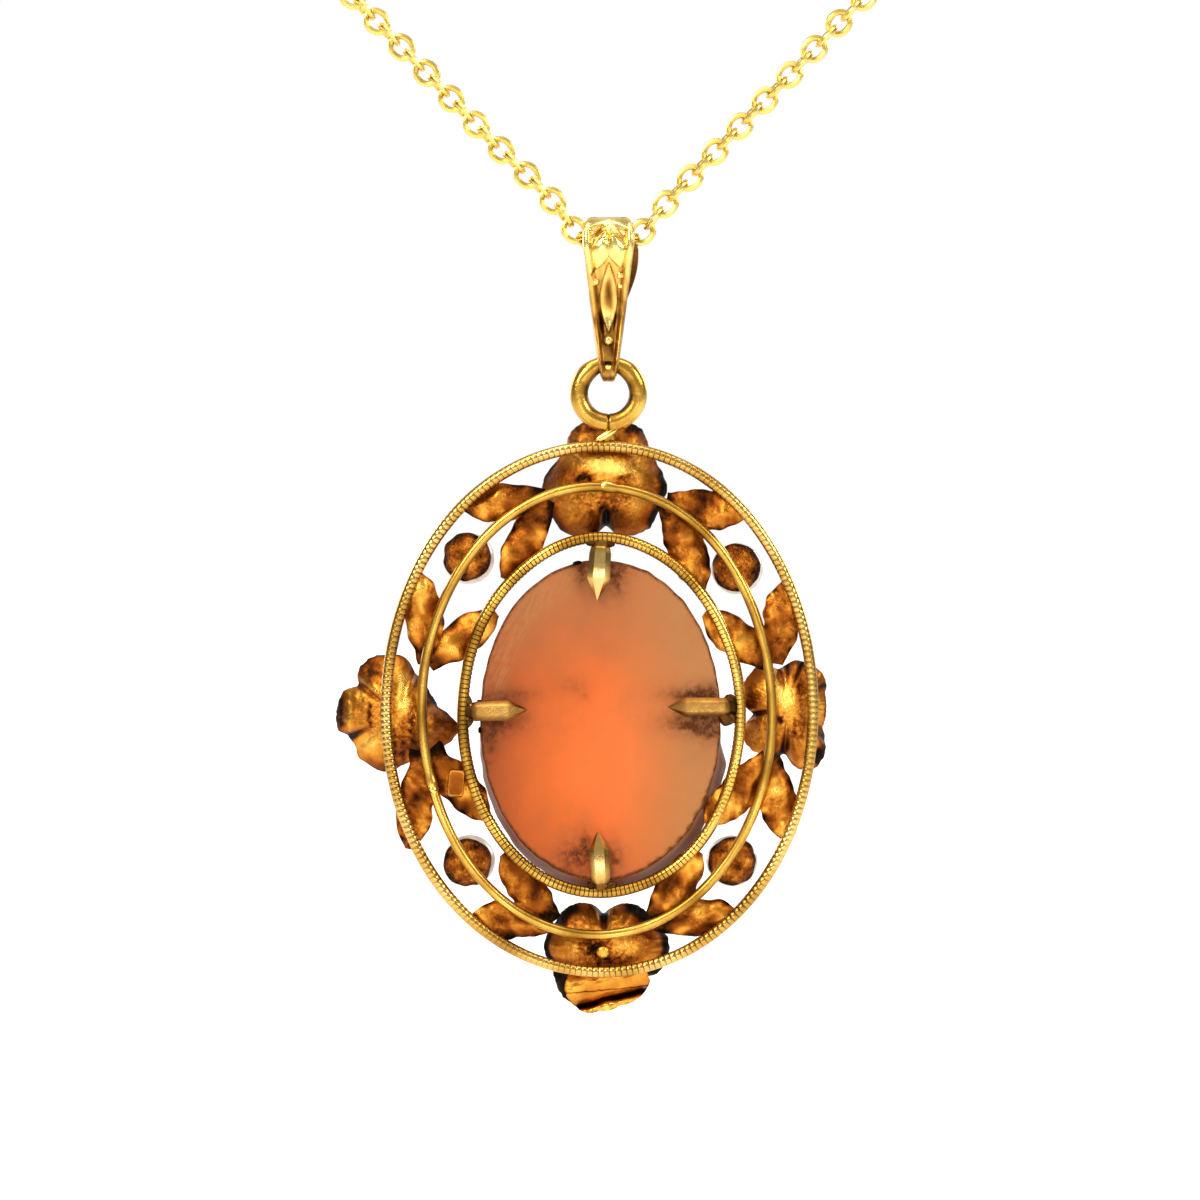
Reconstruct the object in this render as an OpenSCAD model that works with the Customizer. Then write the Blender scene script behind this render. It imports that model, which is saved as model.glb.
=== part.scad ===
// Oval cameo pendant in an openwork gold frame, hanging by its bail on a cable chain.
// The pendant is seen from behind along +Y, so its carved front faces +Y.

/* [Cameo] */
// Width of the cameo's back
cameo_w = 14.9; // [12:0.1:18]
// Height of the cameo's back
cameo_h = 19.7; // [16:0.1:24]
// Thickness of the shell at its edge
cameo_edge = 1.5; // [1:0.1:2.5]
// Rise of the carved ground above the edge
cameo_dome = 1.6; // [1:0.1:3]
// Depth of the hollow in the back
cameo_hollow = 0.5; // [0.2:0.1:0.9]
// How far the front edge stands out beyond the back
cameo_flare = 0.4; // [0.1:0.05:0.6]
// How far the front edge sits lower than the back
cameo_slip = 0.8; // [0.3:0.1:1.1]
// Height of the carving above its ground
relief_h = 0.5; // [0.3:0.05:0.8]

/* [Rims] */
// Wire of the milled inner rim
inner_wire = 0.7; // [0.5:0.05:0.9]
// Wire of the plain middle rim
middle_wire = 0.6; // [0.5:0.05:0.9]
// Wire of the milled outer rim
outer_wire = 0.62; // [0.5:0.01:0.9]
// Clear space between the cameo's back and the inner rim
bezel_gap = 0.8; // [0.6:0.05:1.2]
// Step from the inner to the middle rim at the sides
middle_step_side = 2.25; // [1.8:0.05:3]
// Step from the inner to the middle rim at the top and bottom
middle_step_top = 2.9; // [2.4:0.05:3.6]
// Step from the middle to the outer rim
outer_step = 2.35; // [1.8:0.05:3]
// How far the inner rim hangs below the middle of the frame
setting_drop = 0.4; // [0:0.05:0.8]
// How far the cameo sits below the middle of the inner rim
cameo_drop = 0.2; // [0:0.05:0.4]

/* [Prongs] */
// Width of a prong and of its front claw
prong_w = 1.3; // [0.9:0.05:1.8]
// Thickness of a prong at its ridge
prong_t = 0.45; // [0.3:0.05:0.6]
// Reach of a prong over the cameo's back
prong_reach = 2.8; // [2:0.1:4]
// Reach of a front claw over the cameo's front edge
claw_reach = 0.9; // [0.5:0.1:1.5]
// Gap between the cameo and the metal that holds it
seat_gap = 0.1; // [0.05:0.01:0.15]

/* [Flowers and leaves] */
// Width of a flower
flower_w = 7.6; // [6:0.1:9]
// Depth of a flower's bowl
flower_depth = 2.1; // [1.2:0.1:3]
// Width of a leaf
leaf_w = 2.2; // [1.6:0.1:2.8]
// Curl of a leaf's edges towards the front
leaf_curl = 0.3; // [0.1:0.05:0.6]
// How much farther forward the inner leaf of a pair lies than the outer
leaf_lap = 0.08; // [0:0.01:0.15]
// Thickness of the gold sheet
sheet_t = 0.3; // [0.2:0.02:0.4]

/* [Pearls] */
// Diameter of a pearl
pearl_d = 3.2; // [2.6:0.1:4]
// Diameter of a pearl's cup at its mouth
cup_d = 2.8; // [2:0.1:3]

/* [Jump ring] */
// Outside diameter of the jump ring
ring_d = 4.6; // [4:0.1:6]
// Wire of the jump ring
ring_wire = 1; // [0.8:0.05:1.2]
// Distance from the outer rim to the jump ring
ring_gap = 0.85; // [0.3:0.05:1.5]
// How far the jump ring stands to the right of the frame's middle
ring_shift = 0.5; // [0:0.05:1]

/* [Bail] */
// Height of the bail
bail_h = 10.2; // [9:0.1:13]
// Width of the bail at its shoulders
bail_w = 3.2; // [2.8:0.1:4.5]
// Thickness of the bail's strap
strap_t = 0.4; // [0.3:0.02:0.5]
// Width of the bail's raised border
border_w = 0.3; // [0.2:0.02:0.4]
// Height of the bail's raised border and leaves
border_h = 0.12; // [0.08:0.01:0.2]
// Clearance of the chain and the jump ring in the bail
hang_gap = 0.1; // [0.06:0.01:0.15]

/* [Chain] */
// Length of the closed chain with its clasp
chain_length = 406; // [360:1:500]
// Outside width of a chain link
link_w = 1.6; // [1.2:0.05:1.8]
// Slope of the two sides that carry the bail
side_angle = 47; // [40:1:52]
// Bend of the chain inside the bail
bend_r = 3.2; // [2.6:0.1:5]

/* [Clasp] */
// Outside diameter of the clasp ring
clasp_d = 5.6; // [5:0.1:8]
// Tube of the clasp ring
clasp_wire = 1; // [0.8:0.05:1.3]
// Outside diameter of the clasp's eyelets
eyelet_d = 1.9; // [1.6:0.1:2.4]

/* [Hidden] */

gold = "#c9a23a";
sheet_gold = "#b8741a";
shell = "#e8743b";
pearl_grey = "#cfc8c0";

eps = 0.02;
wire_sides = 8;
rim_rings = 56;
// Angle at which the rims' rings start
rim_turn = 0.7;
flower_rays = 36;
relief_fn = 10;

// The chain: a small bend inside the bail, two straight sides and a round top
function radians(a) = a * PI / 180;
loop_r = (chain_length + 2 * bend_r * (tan(side_angle) - radians(side_angle)))
    / (2 * tan(side_angle) + 2 * PI - 2 * radians(side_angle));
bend_z = -loop_r - (loop_r - bend_r) / cos(side_angle);
apex_z = bend_z - bend_r;
tube_rings = 60;
bend_rings = 8;
// The clasp takes this much of the round top on each side of the origin
clasp_half = clasp_d / 2 + eyelet_d - clasp_wire / 2;
chain_stop = (clasp_half + hang_gap) / loop_r * 180 / PI;

// The bail hangs by its shoulders, where the chain has already risen from its lowest point
edge_x = bail_w / 2;
bend_x = bend_r * sin(side_angle);
edge_slope = edge_x < bend_x ? asin(edge_x / bend_r) : side_angle;
edge_rise = bend_r * (1 - cos(edge_slope)) + max(0, edge_x - bend_x) * tan(side_angle);
chain_pivot_z = apex_z + edge_rise;
over_chain = link_w / 2 / cos(edge_slope) + hang_gap;
under_chain = edge_rise + link_w / 2 + hang_gap;
top_eye_r = (under_chain * under_chain / over_chain + over_chain) / 2;
top_eye_z = chain_pivot_z + over_chain - top_eye_r;
bail_top = top_eye_z + top_eye_r + strap_t;

// The jump ring's wire in the bail's lower eye
ring_r = (ring_d - ring_wire) / 2;
tip_share = 0.32;
tip_slope = asin(bail_w * tip_share / 2 / ring_r);
low_eye_r = ring_wire / 2 / cos(tip_slope) + ring_r * (1 - cos(tip_slope)) + hang_gap;
ring_pivot_z = bail_top - bail_h + strap_t + low_eye_r;
waist_z = top_eye_z - (bail_h - strap_t) * 0.45;
// Outline of the bail from the front: share of its height from the top, share of its width
bail_outline = [[0, 0.68], [0.03, 0.86], [0.07, 0.96], [0.13, 1], [0.3, 0.88], [0.55, 0.69], [0.8, 0.48], [0.96, tip_share], [1, 0.26]];

// Half widths, half heights and drops of the inner, middle and outer rim
inner_hw = cameo_w / 2 + bezel_gap + inner_wire / 2;
inner_hh = cameo_h / 2 + bezel_gap + inner_wire / 2;
half_w = [inner_hw, inner_hw + middle_step_side, inner_hw + middle_step_side + outer_step];
half_h = [inner_hh, inner_hh + middle_step_top, inner_hh + middle_step_top + outer_step];
rim_drop = [setting_drop, 0, 0];
rim_wires = [inner_wire, middle_wire, outer_wire];

// The frame hangs below the jump ring
ring_z = ring_pivot_z - ring_r;
frame_z = ring_z - ring_d / 2 - ring_gap - outer_wire / 2 - half_h[2];

// Places on the frame are an angle and a rim number: 0 inner, 1 middle, 2 outer, and between them
function between(v, rim) = rim <= 1 ? v[0] + (v[1] - v[0]) * rim : v[1] + (v[2] - v[1]) * (rim - 1);
function place(angle, rim) = [
    between(half_w, rim) * cos(angle),
    between(half_h, rim) * sin(angle) - between(rim_drop, rim)
];

// Everything in front of the rims is soldered to their front sides, which lie at this depth
solder_y = middle_wire / 2 - 0.15;

// Flowers: angle, distance from the setting as a share of half of flower_w, width and height as shares
// of flower_w, lobes. A lobe is a circle: its centre and radius as shares of half of flower_w.
flowers = [
    [88, 0.94, 1, 0.98, [[0, 0.47, 0.62], [-0.6, 0.03, 0.42], [0.6, 0.03, 0.42], [-0.42, -0.42, 0.46], [0.42, -0.42, 0.46]]],
    [181, 1.02, 0.97, 0.97, [[-0.25, 0.57, 0.42], [-0.6, 0.03, 0.4], [-0.17, -0.58, 0.45], [0.5, -0.12, 0.52], [0.28, 0.3, 0.4]]],
    [-1, 0.77, 0.97, 0.97, [[-0.37, 0.42, 0.37], [-0.35, -0.3, 0.4], [0.3, -0.52, 0.42], [0.35, 0, 0.38], [0.35, 0.52, 0.38]]],
    [-88, 0.96, 1, 1, [[-0.47, 0.5, 0.36], [0.43, 0.5, 0.36], [-0.56, 0.1, 0.46], [0.53, 0.13, 0.46], [-0.08, -0.3, 0.66]]]
];

// Leaf sprays: angle and rim number of the root, of the outer leaf's tip and of the inner leaf's tip
sprays = [
    [108, 0.98, 129, 1.96, 131, 0.18],
    [68, 1.03, 48, 2.05, 45, 0.12],
    [168, 1.05, 149, 1.95, 143, -0.15],
    [-167, 1.05, -150, 2.18, -146, 0.02],
    [12, 1.05, 29, 1.98, 37, -0.15],
    [-12, 0.95, -29, 2.02, -37, -0.1],
    [-106, 0.9, -127, 1.98, -131, 0.2],
    [-72, 0.93, -51, 1.96, -48, 0.22]
];
// Outline of a leaf: share of its length, share of its width
leaf_outline = [[0, 0.4], [0.15, 0.6], [0.35, 0.95], [0.55, 1], [0.75, 0.78], [0.9, 0.42], [1, 0.08]];

// Pearls: angle and rim number
pearls = [[138, 1.1], [39, 1.05], [-138, 1.06], [-42, 1.08]];
pearl_y = solder_y + sheet_t + hang_gap / 2 + pearl_d / 2;

// The cameo lies in the inner rim, and the prongs grip it from both sides
cameo_z = -setting_drop - cameo_drop;
prong_angles = [90, 178, 3, -90];
function oval_reach(w, h, angle) = 1 / norm([cos(angle) / w, sin(angle) / h]);
function back_edge(angle) = oval_reach(cameo_w / 2, cameo_h / 2, angle) - cameo_drop * sin(angle);
function front_edge(angle) = back_edge(angle) + cameo_flare - cameo_slip * sin(angle);
function rim_reach(angle) = oval_reach(half_w[0], half_h[0], angle);
// Flowers and claws keep clear of the cameo's front edge, which overhangs the inner rim at the bottom
function setting_reach(angle) = max(rim_reach(angle), front_edge(angle) + seat_gap + prong_t / 2);

// Joins loops of equally many points into a closed solid, open at neither end
module loft(loops, ring = false) {
    n = len(loops[0]);
    rows = len(loops);
    last = ring ? rows - 1 : rows - 2;
    sides = [
        for (i = [0:last], j = [0:n - 1], half = [0, 1])
            let (a = i * n, b = (i + 1) % rows * n, k = (j + 1) % n)
                half == 0 ? [a + j, b + k, b + j] : [a + j, a + k, b + k]
    ];
    ends = ring ? [] : [[for (j = [n - 1:-1:0]) j], [for (j = [0:n - 1]) (rows - 1) * n + j]];
    polyhedron([for (loop = loops) each loop], concat(sides, ends), convexity = 6);
}

// A wire bent to an oval: round sections square to the oval's own line
module oval_wire(hw, hh, wire) {
    loft([
        for (i = [0:rim_rings - 1])
            let (
                a = rim_turn + i * 360 / rim_rings,
                across = [hh * cos(a), hw * sin(a)] / norm([hh * cos(a), hw * sin(a)])
            ) [
                for (j = [0:wire_sides - 1])
                    let (b = -j * 360 / wire_sides, out = wire / 2 * cos(b))
                        [hw * cos(a) + across[0] * out, wire / 2 * sin(b), hh * sin(a) + across[1] * out]
            ]
    ], ring = true);
}

// Distance from the flower's middle to its outline: the farthest lobe that the ray meets
function lobe_reach(lobe, a) =
    let (along = lobe[0] * cos(a) + lobe[1] * sin(a), aside = lobe[0] * sin(a) - lobe[1] * cos(a))
        abs(aside) < lobe[2] ? along + sqrt(lobe[2] * lobe[2] - aside * aside) : 0;
function flower_reach(lobes, a) = max([for (lobe = lobes) lobe_reach(lobe, a)]);

// A bowl of sheet: flat where it is soldered, with petals that cup towards the front
module flower(row) {
    size = flower_w / 2 * [row[2], row[3]];
    inner = [0.12, 0.4, 0.65, 0.85, 1];
    function bowl_loop(share, y) = [
        for (i = [0:flower_rays - 1])
            let (a = i * 360 / flower_rays, reach = flower_reach(row[4], a) * share)
                [size[0] * reach * cos(a), y + flower_depth * pow(share * min(1, reach / share), 2.6), size[1] * reach * sin(a)]
    ];
    away = setting_reach(row[0]) + flower_w / 2 * row[1];
    translate([away * cos(row[0]), solder_y, away * sin(row[0]) - setting_drop]) loft(concat(
        [for (i = [0:len(inner) - 1]) bowl_loop(inner[i], 0)],
        [for (i = [len(inner) - 1:-1:0]) bowl_loop(inner[i], sheet_t)]
    ));
}

// A leaf of sheet from its root to its tip, folded along its middle
module leaf(root, tip, lap) {
    run = tip - root;
    aside = [-run[1], run[0]] / norm(run);
    loft([
        for (row = leaf_outline)
            let (mid = root + run * row[0], half = leaf_w / 2 * row[1], curl = leaf_curl * row[1]) [
                for (p = [[-1, curl, 0], [0, 0, 0], [1, curl, 0], [1, curl, 1], [0, 0, 1], [-1, curl, 1]])
                    [mid[0] + aside[0] * half * p[0], solder_y + lap + p[1] + sheet_t * p[2], mid[1] + aside[1] * half * p[0]]
            ]
    ]);
}

// Shallow cup of sheet behind a pearl
module cup(at) {
    seat_r = pearl_d / 2 + hang_gap / 2;
    mouth = sqrt(pow(seat_r + sheet_t, 2) - cup_d * cup_d / 4);
    translate([at[0], pearl_y, at[1]]) rotate([90, 0, 0]) difference() {
        intersection() {
            sphere(seat_r + sheet_t, $fn = 20);
            translate([0, 0, mouth]) cylinder(h = pearl_d, r = cup_d, $fn = 20);
        }
        sphere(seat_r, $fn = 20);
    }
}

// A prong over the back and a claw over the front, soldered to the inner rim
module prong(angle) {
    rim = rim_reach(angle);
    tip = back_edge(angle) - prong_reach;
    shoulder = tip + prong_w;
    post = setting_reach(angle);
    ground = dome(1 - claw_reach / front_edge(angle));
    translate([0, 0, -setting_drop]) rotate([0, -angle, 0]) {
        hull() {
            translate([shoulder, -seat_gap - prong_t / 2, -prong_w / 2]) cube([rim - shoulder, prong_t / 2, prong_w]);
            translate([shoulder, -seat_gap - prong_t, -prong_w / 6]) cube([rim - shoulder, eps, prong_w / 3]);
            translate([tip, -seat_gap - eps, -eps / 2]) cube([eps, eps, eps]);
        }
        translate([rim - prong_t / 2, 0, -prong_w / 2]) cube([post - rim + prong_t, prong_t, prong_w]);
        translate([post - prong_t / 2, 0, -prong_w / 2]) cube([prong_t, cameo_edge + seat_gap + prong_t, prong_w]);
        hull() {
            translate([post - prong_t / 2, cameo_edge + seat_gap * 2, -prong_w / 2]) cube([prong_t, prong_t, prong_w]);
            translate([front_edge(angle) - claw_reach, ground + seat_gap * 2, -prong_w / 4]) cube([eps, prong_t / 2, prong_w / 2]);
        }
    }
}

// The jump ring stands in the plane of the rims, on a lump of solder and a strip end
module jump_ring() {
    translate([ring_shift, 0, half_h[2] + outer_wire / 2 + ring_gap + ring_d / 2]) rotate([90, 0, 0])
        rotate_extrude($fn = 28) translate([ring_r, 0]) circle(d = ring_wire, $fn = 10);
    hull() {
        translate([ring_shift, 0, half_h[2] + outer_wire / 2 + ring_gap + ring_wire / 2]) sphere(d = ring_wire * 0.7, $fn = 12);
        translate([ring_shift, outer_wire / 4, half_h[2]]) sphere(d = ring_wire * 0.9, $fn = 12);
    }
}

module frame() {
    translate([-ring_shift, 0, frame_z]) {
        color(gold) {
            for (i = [0:2])
                translate([0, 0, -rim_drop[i]]) oval_wire(half_w[i], half_h[i], rim_wires[i]);
            for (angle = prong_angles) prong(angle);
            jump_ring();
        }
        color(sheet_gold) {
            for (row = flowers) flower(row);
            for (row = sprays, i = [0, 1]) leaf(place(row[0], row[1]), place(row[2 + i * 2], row[3 + i * 2]), leaf_lap * i);
            for (row = pearls) cup(place(row[0], row[1]));
        }
    }
}

// One loop round the cameo: an oval of a share of its size, at a depth, grown and let down a little
cameo_rays = 40;
function cameo_loop(share, y, grow = 0, down = 0) = [
    for (i = [0:cameo_rays - 1])
        let (a = i * 360 / cameo_rays)
            [(cameo_w / 2 + grow) * share * cos(a), y, (cameo_h / 2 + grow) * share * sin(a) - down]
];
function dome(share) = cameo_edge + cameo_dome * (1 - share * share);

// Carved petal or leaf: a long drop that lies on the dome
module carved(x, z, angle, long, wide) {
    share = norm([x / cameo_w, z / cameo_h]) * 2;
    translate([x, dome(min(1, share)), z - cameo_slip]) rotate([0, -angle, 0]) hull() {
        sphere(r = wide * 0.35, $fn = relief_fn);
        translate([long * 0.6, 0, 0]) scale([1, relief_h / wide * 2, 1]) sphere(r = wide / 2, $fn = relief_fn);
    }
}

// Angle at which the carved petals start, and slope of the carved leaves under them
petal_turn = 20;
carved_slope = 38;
// Flower spray of the carving: rows of angle, distance from the middle, length and width, as shares of the width
carving = [for (i = [0:4]) [petal_turn + i * 72, 0.05, 0.22, 0.2], for (i = [0:4]) [petal_turn + 36 + i * 72, 0.02, 0.13, 0.12]];

module cameo() {
    color(shell) translate([-ring_shift, 0, frame_z + cameo_z]) {
        loft([
            cameo_loop(0.1, cameo_hollow),
            cameo_loop(0.5, cameo_hollow * 0.75),
            cameo_loop(0.85, cameo_hollow * 0.3),
            cameo_loop(1, 0),
            cameo_loop(1, cameo_edge * 0.4),
            cameo_loop(1, cameo_edge * 0.85, cameo_flare, cameo_slip),
            cameo_loop(0.98, dome(1), cameo_flare, cameo_slip),
            cameo_loop(0.85, dome(0.85), cameo_flare, cameo_slip),
            cameo_loop(0.6, dome(0.6), cameo_flare, cameo_slip),
            cameo_loop(0.3, dome(0.3), cameo_flare, cameo_slip),
            cameo_loop(0.1, dome(0.1), cameo_flare, cameo_slip)
        ]);
        for (row = carving)
            carved(cameo_w * row[1] * cos(row[0]), cameo_w * row[1] * sin(row[0]), row[0], cameo_w * row[2], cameo_w * row[3]);
        for (side = [-1, 1], level = [0.27, 0.36])
            carved(side * cameo_w * 0.06, -cameo_h * level, side > 0 ? -carved_slope : 180 + carved_slope, cameo_w * 0.22, cameo_w * 0.1);
    }
}

module pearl(i) {
    at = place(pearls[i][0], pearls[i][1]);
    color(pearl_grey) translate([at[0] - ring_shift, pearl_y, frame_z + at[1]]) sphere(d = pearl_d, $fn = 48);
}

// The flat outline round two circles on the Z axis
module taper(z1, r1, z2, r2) {
    lean = (r1 - r2) / (z1 - z2);
    out = sqrt(1 - lean * lean);
    translate([0, z1]) circle(r1, $fn = 64);
    translate([0, z2]) circle(r2, $fn = 64);
    polygon([
        [r1 * out, z1 - r1 * lean],
        [-r1 * out, z1 - r1 * lean],
        [-r2 * out, z2 - r2 * lean],
        [r2 * out, z2 - r2 * lean]
    ]);
}

// The strap from the side: a teardrop round the chain and an eye round the jump ring's wire
module bail_side(grow) {
    difference() {
        union() {
            taper(top_eye_z, top_eye_r + strap_t + grow, waist_z, strap_t + grow);
            taper(waist_z, strap_t + grow, ring_pivot_z, low_eye_r + strap_t + grow);
        }
        taper(top_eye_z, top_eye_r, waist_z + strap_t, eps);
        translate([0, ring_pivot_z]) circle(low_eye_r, $fn = 64);
    }
}

function bail_edge(inset) = [
    for (row = bail_outline) [bail_w / 2 * row[1] - inset, bail_top + border_h - (bail_h + border_h * 2) * row[0]]
];

module bail_face(inset) {
    right = bail_edge(inset);
    polygon(concat(right, [for (i = [len(right) - 1:-1:0]) [-right[i][0], right[i][1]]]));
}

// Pointed leaf between two arcs, from the middle of its length
module lens(long, wide) {
    r = (long * long + wide * wide) / wide / 4;
    intersection() {
        translate([r - wide / 2, 0]) circle(r, $fn = 64);
        translate([wide / 2 - r, 0]) circle(r, $fn = 64);
    }
}

module bail() {
    deep = top_eye_r * 4;
    color(gold) {
        intersection() {
            rotate([90, 0, 90]) linear_extrude(bail_w * 2, center = true) bail_side(0);
            rotate([90, 0, 0]) linear_extrude(deep, center = true) bail_face(0);
        }
        intersection() {
            rotate([90, 0, 90]) linear_extrude(bail_w * 2, center = true) bail_side(border_h);
            rotate([90, 0, 0]) linear_extrude(deep, center = true) {
                difference() {
                    bail_face(0);
                    bail_face(border_w);
                }
                for (side = [-1, 1])
                    translate([side * bail_w * 0.15, bail_top - bail_h * 0.2]) rotate(side * 14) lens(bail_h * 0.27, bail_w * 0.27);
                translate([0, bail_top - bail_h * 0.49]) lens(bail_h * 0.42, bail_w * 0.3);
                translate([0, bail_top - bail_h * 0.77]) circle(d = bail_w * 0.17, $fn = 24);
            }
        }
    }
}

// Points along the chain's middle line, from the left of the clasp down and round to its right
function on_round(a) = [loop_r * sin(a), -loop_r + loop_r * cos(a)];
function on_bend(a) = [bend_r * sin(a), bend_z - bend_r * cos(a)];
route = [
    for (i = [0:tube_rings / 2]) let (a = chain_stop + i * (180 - side_angle - chain_stop) * 2 / tube_rings) on_round(-a),
    for (i = [0:bend_rings]) on_bend(side_angle * (2 * i / bend_rings - 1)),
    for (i = [tube_rings / 2:-1:0]) let (a = chain_stop + i * (180 - side_angle - chain_stop) * 2 / tube_rings) on_round(a)
];

module chain() {
    last = len(route) - 1;
    color(gold) loft([
        for (i = [0:last])
            let (run = route[min(i + 1, last)] - route[max(i - 1, 0)], across = [-run[1], run[0]] / norm(run)) [
                for (j = [0:wire_sides - 1])
                    let (b = j * 360 / wire_sides, out = link_w / 2 * cos(b))
                        [route[i][0] + across[0] * out, link_w / 2 * sin(b), route[i][1] + across[1] * out]
            ]
    ]);
}

module clasp() {
    color(gold) rotate([90, 0, 0]) {
        rotate_extrude($fn = 64) translate([(clasp_d - clasp_wire) / 2, 0]) circle(d = clasp_wire, $fn = 32);
        for (side = [-1, 1])
            translate([side * (clasp_half - eyelet_d / 2), 0, 0])
                rotate_extrude($fn = 48) translate([eyelet_d / 2 - clasp_wire / 4, 0]) circle(d = clasp_wire / 2, $fn = 24);
    }
}

chain();
clasp();
bail();
frame();
cameo();
pearl(0);  // pearl_1
pearl(1);  // pearl_2
pearl(2);  // pearl_3
pearl(3);  // pearl_4
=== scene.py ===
import math
import bpy
import numpy as np
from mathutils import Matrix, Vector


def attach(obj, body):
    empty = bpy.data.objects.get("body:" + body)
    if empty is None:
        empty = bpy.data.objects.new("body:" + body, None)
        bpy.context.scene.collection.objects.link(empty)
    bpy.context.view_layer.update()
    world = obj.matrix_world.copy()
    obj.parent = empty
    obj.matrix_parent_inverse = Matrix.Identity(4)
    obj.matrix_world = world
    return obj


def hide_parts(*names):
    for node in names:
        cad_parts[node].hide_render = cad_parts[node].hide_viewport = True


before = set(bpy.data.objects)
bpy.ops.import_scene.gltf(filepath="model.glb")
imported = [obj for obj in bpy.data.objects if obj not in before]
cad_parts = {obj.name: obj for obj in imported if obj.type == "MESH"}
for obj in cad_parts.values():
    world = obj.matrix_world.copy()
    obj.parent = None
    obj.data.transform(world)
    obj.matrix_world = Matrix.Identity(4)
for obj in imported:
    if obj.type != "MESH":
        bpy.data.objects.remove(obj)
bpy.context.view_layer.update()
print("frame loaded:", ", ".join(sorted(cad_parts)))

# Sizes are in millimetres in the frame's own axes, and putPiece turns them into metres.
# The pendant is seen from behind along +Y. Its openwork is laid out round this middle.
layout = {
    "middle": np.array([-0.5, 0.0, -175.382]),
    "halfWide": [8.6, 10.85, 13.2],     # inner, middle and outer rim
    "halfTall": [11.0, 13.9, 16.25],
    "rimDrop": [0.4, 0.0, 0.0],
    "solderDepth": 0.15,                # where sheet work meets the rims
    "bailTop": -144.768,
    "ringPivot": -153.872,
}


def turns(count):
    # Even angles round a full circle
    return np.linspace(0, 2 * math.pi, count, endpoint=False)


def hump(distance, half, power=2):
    # Bell curve exp(-(distance / half) ^ power): 1 at no distance, flatter on top with a power of 4
    return np.exp(-(distance / half) ** power)


def spotAt(across, wide, up, tall, power=2):
    # The same bell over two directions
    return np.exp(-(across / wide) ** power - (up / tall) ** power)


def ramp(distance, long):
    # Rises evenly from 0 to 1 over a length
    return np.clip(distance / long, 0, 1)


# Camera, light and room

view = {"middle": (-0.527, -168.52), "away": 300.0, "width": 74.4}
camera = bpy.data.objects.new("photoCamera", bpy.data.cameras.new("photoCamera"))
bpy.context.scene.collection.objects.link(camera)
camera.location = (view["middle"][0] / 1000, -view["away"] / 1000, view["middle"][1] / 1000)
camera.rotation_euler = (math.pi / 2, 0, 0)
camera.data.sensor_width = 36
camera.data.lens = 36 * view["away"] / view["width"]
camera.data.clip_start = 0.01
camera.data.clip_end = 100
bpy.context.scene.camera = camera
bpy.context.scene.view_settings.view_transform = "Standard"


def linearColour(hexCode):
    # sRGB hex to linear light: the toe is a straight line, the rest a 2.4 power
    value = np.array([int(hexCode[i:i + 2], 16) for i in (1, 3, 5)]) / 255
    linear = np.where(value <= 0.04045, value / 12.92, ((value + 0.055) / 1.055) ** 2.4)
    return tuple(float(x) for x in linear) + (1.0,)


def addNode(tree, kind, settings=None, links=None):
    # Settings name a property or an input of the node, links name the input that a socket feeds
    node = tree.nodes.new("ShaderNode" + kind)
    for key, value in (settings or {}).items():
        if key == "stops":
            for index, (place, hexCode) in enumerate(value):
                stops = node.color_ramp.elements
                stop = stops[index] if index < len(stops) else stops.new(place)
                stop.position, stop.color = place, linearColour(hexCode)
        elif isinstance(key, str) and hasattr(node, key):
            setattr(node, key, value)
        else:
            node.inputs[key].default_value = value
    for key, socket in (links or {}).items():
        tree.links.new(socket, node.inputs[key])
    return node


def newMaterial(name):
    material = bpy.data.materials.new(name)
    material.use_nodes = True
    material.node_tree.nodes.clear()
    return material, material.node_tree


room = {
    "floorHeight": -0.262, "floorRadius": 9.0, "floorColour": "#E8E6E2", "floorGlow": (0.3, 0.75),
    # brightness of the light tent by direction, from the camera's side (0) to behind the piece (1)
    "tent": [(0.0, "#A39D90"), (0.15, "#8C8577"), (0.35, "#574F41"), (0.55, "#5D5444"), (0.72, "#9A9284"),
             (0.86, "#C9C4BA"), (1.0, "#CFCBC2")],
    "tentStrength": 1.15, "topShare": 0.35,      # the tent's top is brighter than its foot by this share
}
studioLights = [
    # name, place and aim in metres, width and height, watts, colour
    ("softTopLeft", (-0.32, -0.42, 0.2), (0, 0, -0.17), 0.24, 0.24, 2.5, "#FFF8EC"),
    ("softTopRight", (0.45, -0.3, 0.12), (0, 0, -0.17), 0.2, 0.2, 1.4, "#FFFDF8"),
    ("lowFill", (0.0, -0.5, -0.24), (0, 0, -0.17), 0.5, 0.08, 0.4, "#FFF6EA"),
    ("softTop", (0.0, -0.1, 0.28), (0, 0, -0.15), 0.5, 0.22, 1.3, "#FFF4E6"),
    ("backLeft", (-0.5, 0.55, 0.0), (0, 0, -0.15), 0.35, 0.35, 1.3, "#FFFFFF"),
    ("backRight", (0.5, 0.55, 0.1), (0, 0, -0.15), 0.35, 0.35, 1.3, "#FFFFFF"),
]
for name, place, aim, wide, tall, watts, colour in studioLights:
    lamp = bpy.data.objects.new(name, bpy.data.lights.new(name, "AREA"))
    bpy.context.scene.collection.objects.link(lamp)
    lamp.data.shape, lamp.data.size, lamp.data.size_y = "RECTANGLE", wide, tall
    lamp.data.energy = watts
    lamp.data.color = linearColour(colour)[:3]
    lamp.location = place
    lamp.rotation_euler = (Vector(aim) - Vector(place)).to_track_quat("-Z", "Y").to_euler()
    lamp.visible_camera = False

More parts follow.
